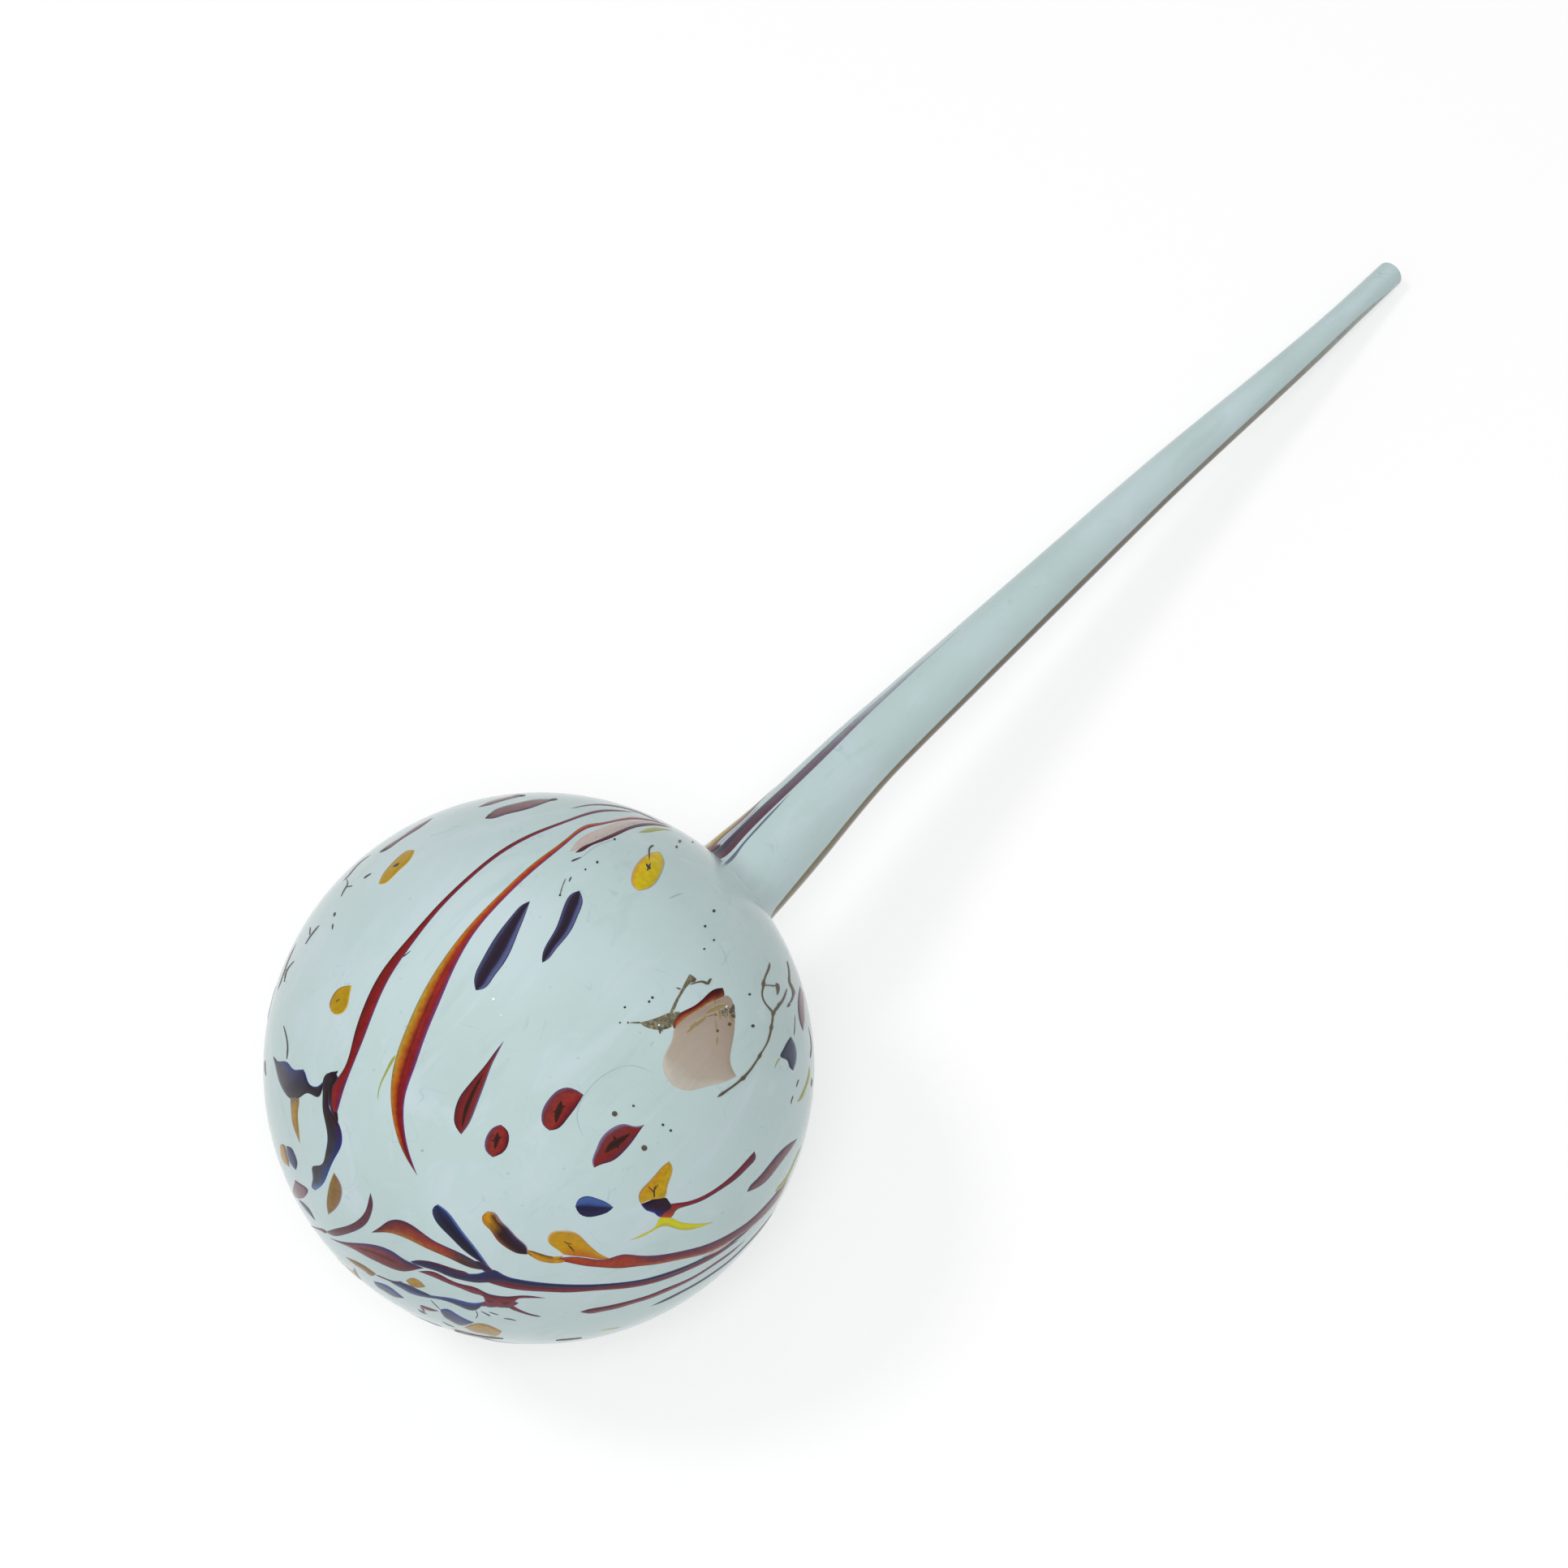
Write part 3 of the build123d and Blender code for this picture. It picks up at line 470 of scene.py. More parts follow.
# The looks of the coloured glass, read off the photograph
thin_depth, soft_depth = (0, 0.12), (0.1, 0.3)
looks = {
    "red_streak": dict(rim_a=(0.16, 58, 24, 34), rim_b=(0.2, 98, 62, 108), stages=[
        (0, (0, 110, 72, 74), (0.5, 96, 34, 44), (1, 112, 62, 80)),
        (0.3, (0, 66, 26, 32), (0.3, 132, 38, 30), (0.7, 140, 42, 36), (1, 104, 46, 70)),
        (0.8, (0, 74, 24, 26), (0.25, 128, 24, 20), (0.7, 146, 28, 24), (1, 120, 48, 84)),
        (1, (0, 104, 20, 18), (0.5, 150, 22, 16), (1, 96, 44, 96))]),
    "orange_streak": dict(rim_a=(0.14, 128, 104, 64), rim_b=(0.2, 106, 62, 118), stages=[
        (0, (0, 110, 60, 60), (0.5, 176, 92, 60), (1, 110, 44, 50)),
        (0.2, (0, 110, 50, 40), (0.4, 196, 88, 34), (0.8, 170, 62, 34), (1, 92, 36, 40)),
        (0.45, (0, 176, 120, 50), (0.25, 206, 106, 28), (0.5, 190, 66, 30), (0.7, 176, 52, 40), (1, 116, 60, 92)),
        (0.75, (0, 176, 160, 84), (0.16, 196, 150, 42), (0.36, 186, 100, 24), (0.52, 124, 32, 26),
         (0.62, 156, 40, 34), (0.8, 142, 34, 36), (1, 110, 60, 120)),
        (0.9, (0, 190, 130, 40), (0.3, 196, 84, 22), (0.52, 132, 26, 20), (0.8, 140, 24, 34), (1, 104, 50, 104)),
        (1, (0, 70, 24, 34), (0.5, 112, 20, 34), (1, 60, 26, 60))]),
    "navy_leaf": dict(rim_a=(0.12, 48, 50, 78), rim_b=(0.12, 48, 50, 80), grain=0.06, depth=thin_depth, stages=[
        (0, (0, 66, 70, 100), (0.12, 62, 66, 98), (0.24, 46, 38, 54), (0.5, 40, 30, 42), (0.68, 44, 36, 56),
         (0.8, 76, 82, 122), (0.92, 84, 90, 132), (1, 52, 56, 90))]),
    "yellow_oval": dict(rim_a=(0.34, 178, 148, 120), rim_b=(0.3, 150, 148, 134), depth=soft_depth, stages=[
        (0, (0, 206, 150, 40), (0.2, 218, 186, 26), (0.6, 212, 188, 18), (1, 196, 174, 30))]),
    "mustard_oval": dict(rim_a=(0.16, 116, 98, 54), rim_b=(0.26, 196, 172, 90), depth=soft_depth, stages=[
        (0, (0, 164, 126, 34), (0.2, 186, 148, 16), (0.6, 182, 146, 12), (1, 178, 142, 22))]),
    "mauve": dict(rim_a=(0.24, 78, 70, 104), rim_b=(0.2, 58, 48, 78), stages=[
        (0, (0, 70, 62, 92), (0.3, 120, 76, 84), (0.6, 134, 84, 88), (1, 110, 78, 100))]),
    "red_leaf": dict(rim_a=(0.2, 56, 38, 54), rim_b=(0.28, 96, 76, 110), depth=soft_depth, stages=[
        (0, (0, 76, 40, 52), (0.2, 112, 34, 34), (0.5, 128, 40, 36), (0.8, 124, 40, 40), (1, 92, 66, 92))]),
    "lavender_leaf": dict(rim_a=(0.34, 112, 100, 134), rim_b=(0.2, 70, 46, 70), depth=soft_depth, stages=[
        (0, (0, 120, 104, 130), (0.18, 116, 50, 56), (0.5, 128, 40, 36), (0.8, 120, 40, 42), (1, 80, 50, 76))]),
    "red_oval": dict(rim_a=(0.34, 92, 72, 104), rim_b=(0.26, 58, 34, 56), stages=[
        (0, (0, 104, 84, 108), (0.14, 128, 50, 52), (0.4, 156, 54, 46), (0.7, 150, 46, 42), (1, 96, 24, 32))]),
    "blue_drop": dict(rim_a=(0.24, 52, 66, 118), rim_b=(0.2, 40, 42, 92), depth=thin_depth, stages=[
        (0, (0, 66, 94, 150), (0.3, 60, 84, 142), (0.5, 34, 34, 66), (1, 34, 30, 62))]),
    "yellow_leaf": dict(rim_a=(0.3, 150, 128, 88), rim_b=(0.24, 190, 156, 112), stages=[
        (0, (0, 206, 150, 36), (0.4, 214, 166, 20), (0.8, 208, 172, 24), (1, 196, 160, 50))]),
    "dark_base": dict(rim_b=(0.36, 44, 56, 130), stages=[
        (0, (0, 40, 22, 42), (0.6, 44, 22, 46), (1, 36, 44, 116))]),
    "red_tail": dict(rim_a=(0.12, 98, 50, 88), rim_b=(0.14, 76, 40, 84), stages=[
        (0, (0, 120, 30, 60), (0.5, 170, 60, 40), (1, 196, 100, 40)),
        (0.3, (0, 134, 32, 44), (0.5, 140, 34, 40), (1, 100, 44, 76)),
        (1, (0, 104, 40, 60), (0.5, 112, 34, 50), (1, 78, 40, 76))]),
    "lime": dict(rim_a=(0.12, 170, 172, 84), rim_b=(0.12, 160, 164, 80), depth=thin_depth, stages=[
        (0, (0, 188, 184, 40), (0.5, 200, 194, 34), (1, 168, 170, 50))]),
    "yellow_strand": dict(rim_b=(0.14, 96, 48, 34), stages=[
        (0, (0, 206, 140, 30), (0.5, 206, 154, 24), (1, 120, 60, 26))]),
    "navy_tear": dict(rim_a=(0.14, 60, 70, 96), rim_b=(0.4, 76, 98, 158), stages=[
        (0, (0, 34, 38, 66), (0.5, 24, 24, 48), (1, 44, 52, 96)),
        (0.7, (0, 34, 40, 66), (0.55, 20, 20, 42), (0.8, 34, 42, 86), (1, 62, 82, 134)),
        (1, (0, 48, 62, 100), (0.5, 30, 38, 76), (1, 56, 76, 128))]),
    "yellow_tear": dict(rim_a=(0.14, 120, 84, 50), rim_b=(0.24, 128, 104, 124), stages=[
        (0, (0, 44, 24, 50), (0.5, 40, 20, 36), (1, 44, 44, 90)),
        (0.55, (0, 140, 84, 40), (0.3, 52, 26, 28), (0.7, 46, 22, 28), (1, 70, 64, 106)),
        (0.85, (0, 206, 140, 26), (0.45, 206, 146, 24), (0.75, 84, 48, 24), (1, 206, 156, 110)),
        (1, (0, 210, 148, 26), (0.6, 214, 156, 30), (1, 206, 154, 104))]),
    "yellow_low": dict(rim_a=(0.34, 186, 156, 116), depth=soft_depth, stages=[
        (0, (0, 190, 144, 24), (0.5, 196, 148, 12), (1, 186, 100, 22)),
        (1, (0, 172, 132, 74), (0.5, 192, 146, 20), (1, 184, 90, 24))]),
    "low_streak": dict(rim_a=(0.2, 94, 64, 104), rim_b=(0.12, 110, 62, 56), stages=[
        (0, (0, 180, 82, 34), (0.5, 178, 66, 30), (1, 150, 44, 28)),
        (0.22, (0, 132, 56, 60), (0.4, 176, 68, 34), (0.8, 174, 62, 30), (1, 112, 44, 36)),
        (0.34, (0, 92, 64, 106), (0.3, 112, 54, 72), (0.6, 134, 52, 50), (0.85, 172, 82, 40), (1, 138, 76, 56)),
        (0.7, (0, 102, 66, 100), (0.35, 108, 52, 68), (0.7, 118, 54, 62), (1, 150, 102, 90)),
        (1, (0, 98, 66, 92), (0.5, 112, 60, 74), (1, 140, 110, 108))]),
    "swoosh": dict(rim_a=(0.2, 62, 40, 84), rim_b=(0.14, 120, 70, 50), stages=[
        (0, (0, 50, 34, 50), (0.5, 104, 44, 46), (1, 84, 56, 44)),
        (0.2, (0, 56, 38, 66), (0.25, 112, 46, 50), (0.6, 132, 54, 44), (1, 184, 112, 44)),
        (0.42, (0, 80, 46, 74), (0.3, 136, 50, 46), (0.65, 160, 74, 40), (1, 188, 122, 50)),
        (0.62, (0, 104, 56, 78), (0.3, 160, 60, 44), (0.7, 172, 76, 40), (1, 128, 78, 36)),
        (0.8, (0, 66, 60, 92), (0.4, 84, 56, 50), (1, 58, 44, 34)),
        (1, (0, 50, 54, 92), (1, 48, 38, 50))]),
    "low_leaf": dict(rim_a=(0.26, 64, 64, 118), rim_b=(0.16, 84, 50, 72), core=((84, 26, 22), 0.14, 0.35, 0.8),
                     stages=[
        (0, (0, 70, 50, 88), (0.5, 120, 54, 62), (1, 110, 50, 60)),
        (0.5, (0, 70, 66, 120), (0.3, 132, 58, 62), (0.7, 140, 54, 52), (1, 104, 40, 50)),
        (1, (0, 50, 50, 96), (0.5, 100, 44, 60), (1, 96, 40, 52))]),
    "navy_band": dict(rim_a=(0.16, 66, 82, 128), stages=[
        (0, (0, 44, 52, 104), (0.5, 36, 40, 84), (1, 60, 44, 76)),
        (0.5, (0, 44, 54, 104), (0.5, 32, 32, 72), (1, 90, 40, 60)),
        (1, (0, 66, 60, 96), (0.5, 60, 40, 66), (1, 104, 56, 70))]),
    "maroon": dict(rim_a=(0.16, 66, 44, 82), rim_b=(0.16, 94, 60, 92), stages=[
        (0, (0, 60, 44, 70), (0.4, 122, 40, 46), (1, 112, 52, 66)),
        (0.5, (0, 84, 42, 62), (0.5, 134, 44, 50), (1, 116, 56, 72)),
        (1, (0, 84, 50, 74), (0.5, 112, 44, 58), (1, 116, 66, 82))]),
    "hook": dict(rim_a=(0.16, 66, 50, 72), rim_b=(0.2, 80, 70, 98), stages=[
        (0, (0, 80, 50, 66), (0.3, 100, 52, 62), (0.6, 108, 52, 56), (0.85, 96, 54, 76), (1, 70, 58, 88))]),
    "branch": dict(rim_a=(0.18, 70, 42, 72), rim_b=(0.18, 66, 50, 92), core=((62, 30, 34), 0.1, 0.55, 0.75), stages=[
        (0, (0, 84, 44, 66), (0.4, 136, 50, 58), (0.75, 128, 52, 66), (1, 76, 48, 84))]),
    "navy_chip": dict(rim_a=(0.34, 60, 86, 146), rim_b=(0.14, 50, 60, 84), depth=thin_depth, stages=[
        (0, (0, 62, 84, 144), (0.35, 44, 54, 100), (0.7, 36, 40, 72), (1, 66, 72, 96))]),
    "yellow_chip": dict(rim_a=(0.34, 150, 124, 104), rim_b=(0.3, 110, 100, 92), stages=[
        (0, (0, 176, 140, 70), (0.4, 196, 150, 36), (1, 150, 120, 60))]),
    "orange_chip": dict(rim_a=(0.2, 140, 122, 80), rim_b=(0.26, 146, 126, 134), stages=[
        (0, (0, 128, 112, 60), (0.3, 150, 114, 36), (0.62, 148, 108, 46), (0.85, 146, 114, 84), (1, 140, 120, 112))]),
    "teal": dict(rim_a=(0.1, 84, 104, 120), stages=[(0, (0, 52, 66, 92), (0.5, 38, 56, 80), (1, 70, 96, 112))]),
    "slate": dict(rim_a=(0.14, 56, 66, 92), rim_b=(0.2, 56, 74, 124), stages=[
        (0, (0, 44, 54, 84), (0.4, 46, 56, 80), (0.8, 66, 84, 118), (1, 72, 92, 130))]),
    "splash_head": dict(rim_a=(0.24, 44, 58, 128), rim_b=(0.16, 46, 46, 72), stages=[
        (0, (0, 44, 44, 70), (1, 56, 60, 78)),
        (0.3, (0, 56, 72, 130), (0.25, 66, 74, 108), (0.6, 78, 80, 90), (1, 88, 88, 94)),
        (0.6, (0, 34, 38, 92), (0.5, 40, 40, 62), (1, 70, 68, 70)),
        (0.8, (0, 28, 24, 60), (0.5, 30, 22, 34), (1, 28, 22, 40)),
        (1, (0, 26, 22, 34), (1, 28, 20, 26))]),
    "splash_leg": dict(rim_a=(0.14, 34, 36, 62), rim_b=(0.22, 44, 60, 136), stages=[
        (0, (0, 28, 22, 30), (1, 34, 22, 28)),
        (0.3, (0, 26, 22, 34), (0.5, 36, 22, 26), (1, 70, 26, 34)),
        (0.5, (0, 40, 38, 54), (0.4, 50, 50, 64), (0.7, 36, 40, 96), (1, 40, 44, 124)),
        (0.75, (0, 52, 54, 66), (0.5, 62, 68, 74), (1, 46, 70, 140)),
        (0.88, (0, 52, 58, 72), (0.5, 72, 78, 84), (1, 74, 104, 164)),
        (1, (0, 60, 72, 100), (0.5, 100, 130, 180), (1, 110, 146, 200))]),
    "spike": dict(rim_a=(0.2, 116, 96, 56), rim_b=(0.14, 140, 120, 80), stages=[
        (0, (0, 120, 110, 90), (1, 110, 110, 108)),
        (0.35, (0, 170, 136, 60), (0.5, 194, 146, 52), (1, 150, 126, 72)),
        (1, (0, 150, 112, 44), (0.5, 196, 144, 44), (1, 160, 120, 50))]),
    "wedge": dict(depth=thin_depth, stages=[(0, (0, 190, 170, 156), (0.3, 190, 178, 172), (1, 180, 168, 164))]),
    "maroon_line": dict(rim_b=(0.14, 70, 44, 76), stages=[
        (0, (0, 124, 60, 60), (0.5, 98, 38, 46), (1, 90, 44, 60))]),
    "olive": dict(depth=thin_depth, stages=[(0, (0, 140, 146, 84), (0.5, 156, 160, 60), (1, 150, 156, 96))]),
    "brown_line": dict(depth=soft_depth, stages=[
        (0, (0, 130, 122, 86), (0.5, 112, 100, 56), (1, 126, 114, 70)),
        (0.25, (0, 130, 122, 94), (0.35, 94, 80, 46), (0.8, 98, 82, 44), (1, 118, 102, 60)),
        (0.42, (0, 132, 128, 110), (0.3, 84, 68, 58), (0.75, 82, 66, 56), (1, 122, 108, 76)),
        (0.62, (0, 144, 140, 124), (0.35, 94, 82, 72), (0.8, 98, 84, 70), (1, 124, 112, 84)),
        (0.82, (0, 152, 154, 144), (0.5, 128, 122, 110), (1, 140, 134, 118)),
        (1, (0, 176, 188, 182), (1, 172, 182, 174))]),
    "stem_gold": dict(depth=thin_depth, stages=[(0, (0, 176, 156, 84), (0.5, 160, 132, 50), (1, 104, 84, 60))]),
    "stem_slate": dict(depth=thin_depth, stages=[
        (0, (0, 62, 64, 80), (0.5, 58, 60, 72), (1, 80, 84, 104)),
        (0.28, (0, 82, 74, 90), (0.5, 74, 64, 76), (1, 92, 88, 104)),
        (0.52, (0, 108, 102, 116), (0.5, 104, 96, 108), (1, 118, 118, 132)),
        (0.78, (0, 150, 158, 168), (0.5, 154, 162, 170), (1, 162, 172, 178)),
        (1, (0, 170, 186, 188), (1, 172, 188, 190))]),
    "stem_maroon": dict(rim_b=(0.12, 92, 80, 108), depth=thin_depth, stages=[
        (0, (0, 96, 58, 68), (0.5, 104, 56, 60), (1, 88, 60, 80)),
        (0.3, (0, 92, 68, 84), (0.5, 98, 64, 74), (1, 92, 72, 92)),
        (0.52, (0, 110, 96, 110), (0.5, 112, 94, 106), (1, 114, 104, 120)),
        (0.76, (0, 148, 150, 160), (0.5, 150, 150, 158), (1, 154, 158, 168)),
        (1, (0, 168, 182, 184), (1, 168, 182, 184))]),
    "stem_thin": dict(depth=thin_depth, stages=[(0, (0, 108, 118, 134), (0.5, 102, 112, 128), (1, 116, 126, 142))]),
    "thread": dict(depth=thin_depth, stages=[(0, (0, 84, 60, 62), (0.5, 58, 40, 48), (1, 84, 66, 76))]),
    "web": dict(grain=0.5, depth=thin_depth, stages=[(0, (0, 104, 96, 80), (0.5, 78, 70, 54), (1, 108, 101, 88))]),
    "speck": dict(grain=0.4, depth=thin_depth, stages=[(0, (0, 70, 66, 62), (0.5, 54, 50, 48), (1, 88, 86, 80))]),
    "smear": dict(grain=0.8, depth=thin_depth, stages=[
        (0, (0, 172, 158, 140), (0.3, 150, 132, 98), (0.7, 142, 124, 88), (1, 172, 158, 140))]),
    "splash_join": dict(stages=[(0, (0, 36, 30, 42), (0.5, 28, 20, 28), (1, 46, 24, 34))]),
    "vein": dict(stages=[(0, (0, 110, 84, 30), (0.5, 84, 62, 26), (1, 110, 84, 30))]),
    "core": dict(grain=0.4, stages=[(0, (0, 84, 36, 28), (0.3, 56, 34, 26), (0.7, 50, 32, 26), (1, 84, 36, 30))]),
    # glint: painted highlights, small white sparkles of light on the glass
    "glint": dict(depth=thin_depth, stages=[(0, (0, 214, 226, 230), (0.5, 240, 246, 248), (1, 214, 226, 230))]),
    "lilac": dict(depth=thin_depth, stages=[(0, (0, 160, 160, 182), (0.5, 184, 186, 206), (1, 150, 150, 174))]),
    "haze": dict(depth=thin_depth, stages=[(0, (0, 170, 190, 196), (0.5, 150, 170, 186), (1, 172, 192, 200))]),
    "band": dict(rim_a=(0.2, 60, 20, 24), stages=[
        (0, (0, 96, 30, 20), (0.4, 150, 60, 34), (1, 190, 130, 90)),
        (0.6, (0, 70, 8, 14), (0.35, 110, 20, 16), (0.7, 160, 80, 40), (1, 192, 140, 96)),
        (1, (0, 48, 8, 14), (0.5, 70, 12, 16), (1, 120, 60, 40))]),
}
# Looks whose material has a fuller name
fuller_names = {
    "band": "window_band", "maroon": "maroon_streak", "teal": "teal_streak", "wedge": "pale_wedge",
    "stem_thin": "stem_thin_slate", "thread": "dark_thread", "web": "brown_web", "speck": "dark_speck",
    "smear": "gold_smear", "vein": "dark_vein", "core": "dark_core", "glint": "painted_glint", "lilac": "pale_lilac",
}


def window_glass():
    """Clear glass over a bare spot in the white, tan from the inside of the globe, with painted shade of the depth
    under it.
    """
    nodes = Nodes("tan_window_glass")
    across = nodes.math("ADD", nodes.attribute("across"), nodes.swing(nodes.noise(size_mm=6), 0.35))
    # Painted shade of the depth seen through the window: the ramp darkens it across, towards its second side
    colour = nodes.ramp(across, [(0, 184, 178, 168), (0.15, 170, 160, 146), (0.6, 162, 149, 136), (1, 150, 134, 116)])
    bands = nodes.noise(size_mm=3, detail=1, stretch=((0.3, 0.4, 0.2), (1, 5, 1)))
    colour = nodes.tint(colour, nodes.span(bands, (0.4, 0.62), (0, 0.12)), (154, 139, 128))
    flecks = nodes.span(nodes.noise(size_mm=0.9, detail=4, distortion=1), (0.66, 0.72), (0, 0.5))
    colour = nodes.tint(colour, nodes.math("MULTIPLY", flecks, nodes.span(across, (0.7, 0.95))), (120, 96, 50))
    return nodes.finish({
        "Base Color": colour,
        "Roughness": 0.04,
        "Normal": nodes.bump(nodes.noise(size_mm=3, detail=2), distance_mm=0.08, strength=0.3),
        "Specular IOR Level": 0.2,
    })


def crust_glass():
    """Gold-brown crust with pale bubbles."""
    nodes = Nodes("gold_crust_glass")
    fine = nodes.noise(size_mm=0.55, detail=5, roughness=0.7, distortion=0.8)
    stops = [(0.3, 66, 62, 48), (0.44, 98, 92, 72), (0.56, 120, 116, 94), (0.68, 172, 172, 156)]
    return nodes.finish({
        "Base Color": nodes.ramp(fine, stops),
        "Roughness": nodes.span(fine, (0.3, 0.7), (0.12, 0.3)),
        "Normal": nodes.bump(fine, distance_mm=0.2, strength=0.8),
        "Specular IOR Level": 0.25,
    })


def white_glass():
    """Milky white glass: a cool base, with veils and wisps drawn out along the object."""
    nodes = Nodes("milky_white_glass")
    veil = nodes.noise(size_mm=9, detail=4, roughness=0.6, distortion=1.2, stretch=((0, droop, 0), (0.25, 1.4, 1.4)))
    fine = nodes.noise(size_mm=2.2, detail=6, roughness=0.7)
    wisp = nodes.noise(size_mm=14, detail=2.5, distortion=1.6)
    line = nodes.span(nodes.off_middle(wisp), (0, 0.006), (1, 0))
    patchy = nodes.span(nodes.noise(size_mm=7, detail=1), (0.5, 0.66))
    base_stops = [(0.25, 175, 194, 193), (0.5, 181, 200, 200), (0.75, 188, 205, 208)]
    colour = nodes.ramp(nodes.noise(size_mm=26, detail=2), base_stops)
    for share, shade in (
        (nodes.span(veil, (0.5, 0.72), (0, 0.55)), (192, 206, 212)),
        (nodes.span(veil, (0.28, 0.42), (0.4, 0)), (166, 187, 185)),
        (nodes.math("MULTIPLY", nodes.math("MULTIPLY", line, patchy), 0.4), (150, 168, 180)),
        (nodes.span(nodes.noise(size_mm=1.1, detail=1), (0.76, 0.8), (0, 0.4)), (150, 162, 168)),
        (nodes.span(fine, (0.35, 0.75), (0, 0.12)), (194, 207, 211)),
    ):
        colour = nodes.tint(colour, share, shade)
    return nodes.finish({
        "Base Color": colour,
        "Roughness": nodes.span(fine, (0.3, 0.7), (0.1, 0.2)),
        "Normal": nodes.bump(nodes.noise(size_mm=11, detail=3), distance_mm=0.35, strength=0.22),
        "IOR": glass_ior,
        "Specular IOR Level": glass_shine,
        "Subsurface Weight": 0.12,
        "Subsurface Radius": (0.003, 0.0034, 0.0034),
    })


def clear_glass():
    """Clear glass of the inner wall, a trace greenish."""
    nodes = Nodes("clear_wall_glass")
    return nodes.finish({
        "Base Color": nodes.ramp(nodes.noise(size_mm=8), [(0.3, 226, 240, 236), (0.7, 240, 248, 246)]),
        "Roughness": 0.02,
        "Normal": nodes.bump(nodes.noise(size_mm=4, detail=2), distance_mm=0.08, strength=0.3),
        "IOR": glass_ior,
        "Transmission Weight": 1,
    })


materials = {
    look: coloured_glass(fuller_names.get(look, look) + "_glass", **settings) for look, settings in looks.items()
}
materials.update(window=window_glass(), crust=crust_glass(), white=white_glass(), clear=clear_glass())

# The white skin: one turned shell, from the globe's far end over the lip and back inside
skin_wave, wave_spans = 0.012, (4.1, 7.7)
ball_rows, blend_rows, tube_rows, lip_rows = 96, 18, 120, 7
inner_tube_rows, inner_blend_rows, inner_ball_rows = 50, 8, 50
shell_columns = 168
# What the skin's inside, its mouth and its lip keep off the solids' own faces
inner_inset, mouth_inset, lip_share = 0.03, 0.02, 0.98


def white_depth(reach):
    share = np.clip((reach - neck_reach) / taper_length, 0, 1)
    return white_wall + (stem_end_white_wall - white_wall) * share


def arc(start, end, count, radius):
    """Points from one angle to another, both included."""
    angles = np.linspace(start, end, count)
    return np.stack([np.cos(angles), np.sin(angles)], 1) * radius


def skin_profile():
    """Reach and radius along the skin's outside, its lip and its inside."""
    ball_angle = math.atan2(ball_end[1], ball_end[0])
    blend_reaches = np.linspace(ball_end[0], neck_start[0], blend_rows)[1:-1]
    reaches = np.concatenate([blend_reaches, np.linspace(neck_start[0], lip_reach, tube_rows)])
    tube = np.stack([reaches, form_radius(reaches)], 1)
    outside = np.vstack([arc(math.pi, ball_angle, ball_rows, globe_radius), tube])
    lie = unit(np.gradient(outside, axis=0))
    waves = skin_wave * (1 + np.sin(outside[:, 0] / wave_spans[0]) * np.cos(outside[:, 0] / wave_spans[1]))
    outside -= np.stack([-lie[:, 1], lie[:, 0]], 1) * (skin_recess + waves)[:, None]
    outside[0, 1] = 0
    lip = arc(math.pi / 2, 0, lip_rows, lip_round * lip_share)[1:] + [lip_reach, lip_radius - skin_recess]
    back_reaches = np.concatenate([
        np.linspace(stem_reach - mouth_inset, neck_start[0], inner_tube_rows),
        np.linspace(neck_start[0], ball_end[0], inner_blend_rows)[1:],
    ])
    inner_tube = np.stack([back_reaches, form_radius(back_reaches) - white_depth(back_reaches) + inner_inset], 1)
    inner_ball = arc(ball_angle, math.pi, inner_ball_rows, globe_radius - white_wall + inner_inset)[1:]
    inner_ball[-1, 1] = 0
    return np.vstack([outside, lip, inner_tube, inner_ball])


def turned_shell(name, profile, columns):
    """The profile turned around the bowed axis, with a single point at either end."""
    ring = around(np.linspace(0, 360, columns, endpoint=False))
    middles = axis_at(profile[:, 0])
    rounds = middles[1:-1, None] + ring * profile[1:-1, 1, None, None]
    spots = np.vstack([middles[:1], rounds.reshape(-1, 3), middles[-1:]])
    faces = []
    last = len(profile) - 1
    for row in range(last):
        here, there = 1 + (row - 1) * columns, 1 + row * columns
        for column in range(columns):
            beside = (column + 1) % columns
            near = [0] if row == 0 else [here + column, here + beside]
            far = [there] if row == last - 1 else [there + beside, there + column]
            faces.append(near + far)
    mesh = bpy.data.meshes.new(name)
    mesh.from_pydata(spots / mm_per_m, [], faces)
    mesh.polygons.foreach_set("use_smooth", [True] * len(faces))
    return mesh


skin = turned_shell("white_skin", skin_profile(), shell_columns)
skin.materials.append(materials["white"])
show(skin, ("globe_white_skin", "stem_white_skin"))
for wall in ("globe_clear_wall", "stem_clear_wall"):
    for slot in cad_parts[wall].material_slots:
        slot.material = materials["clear"]

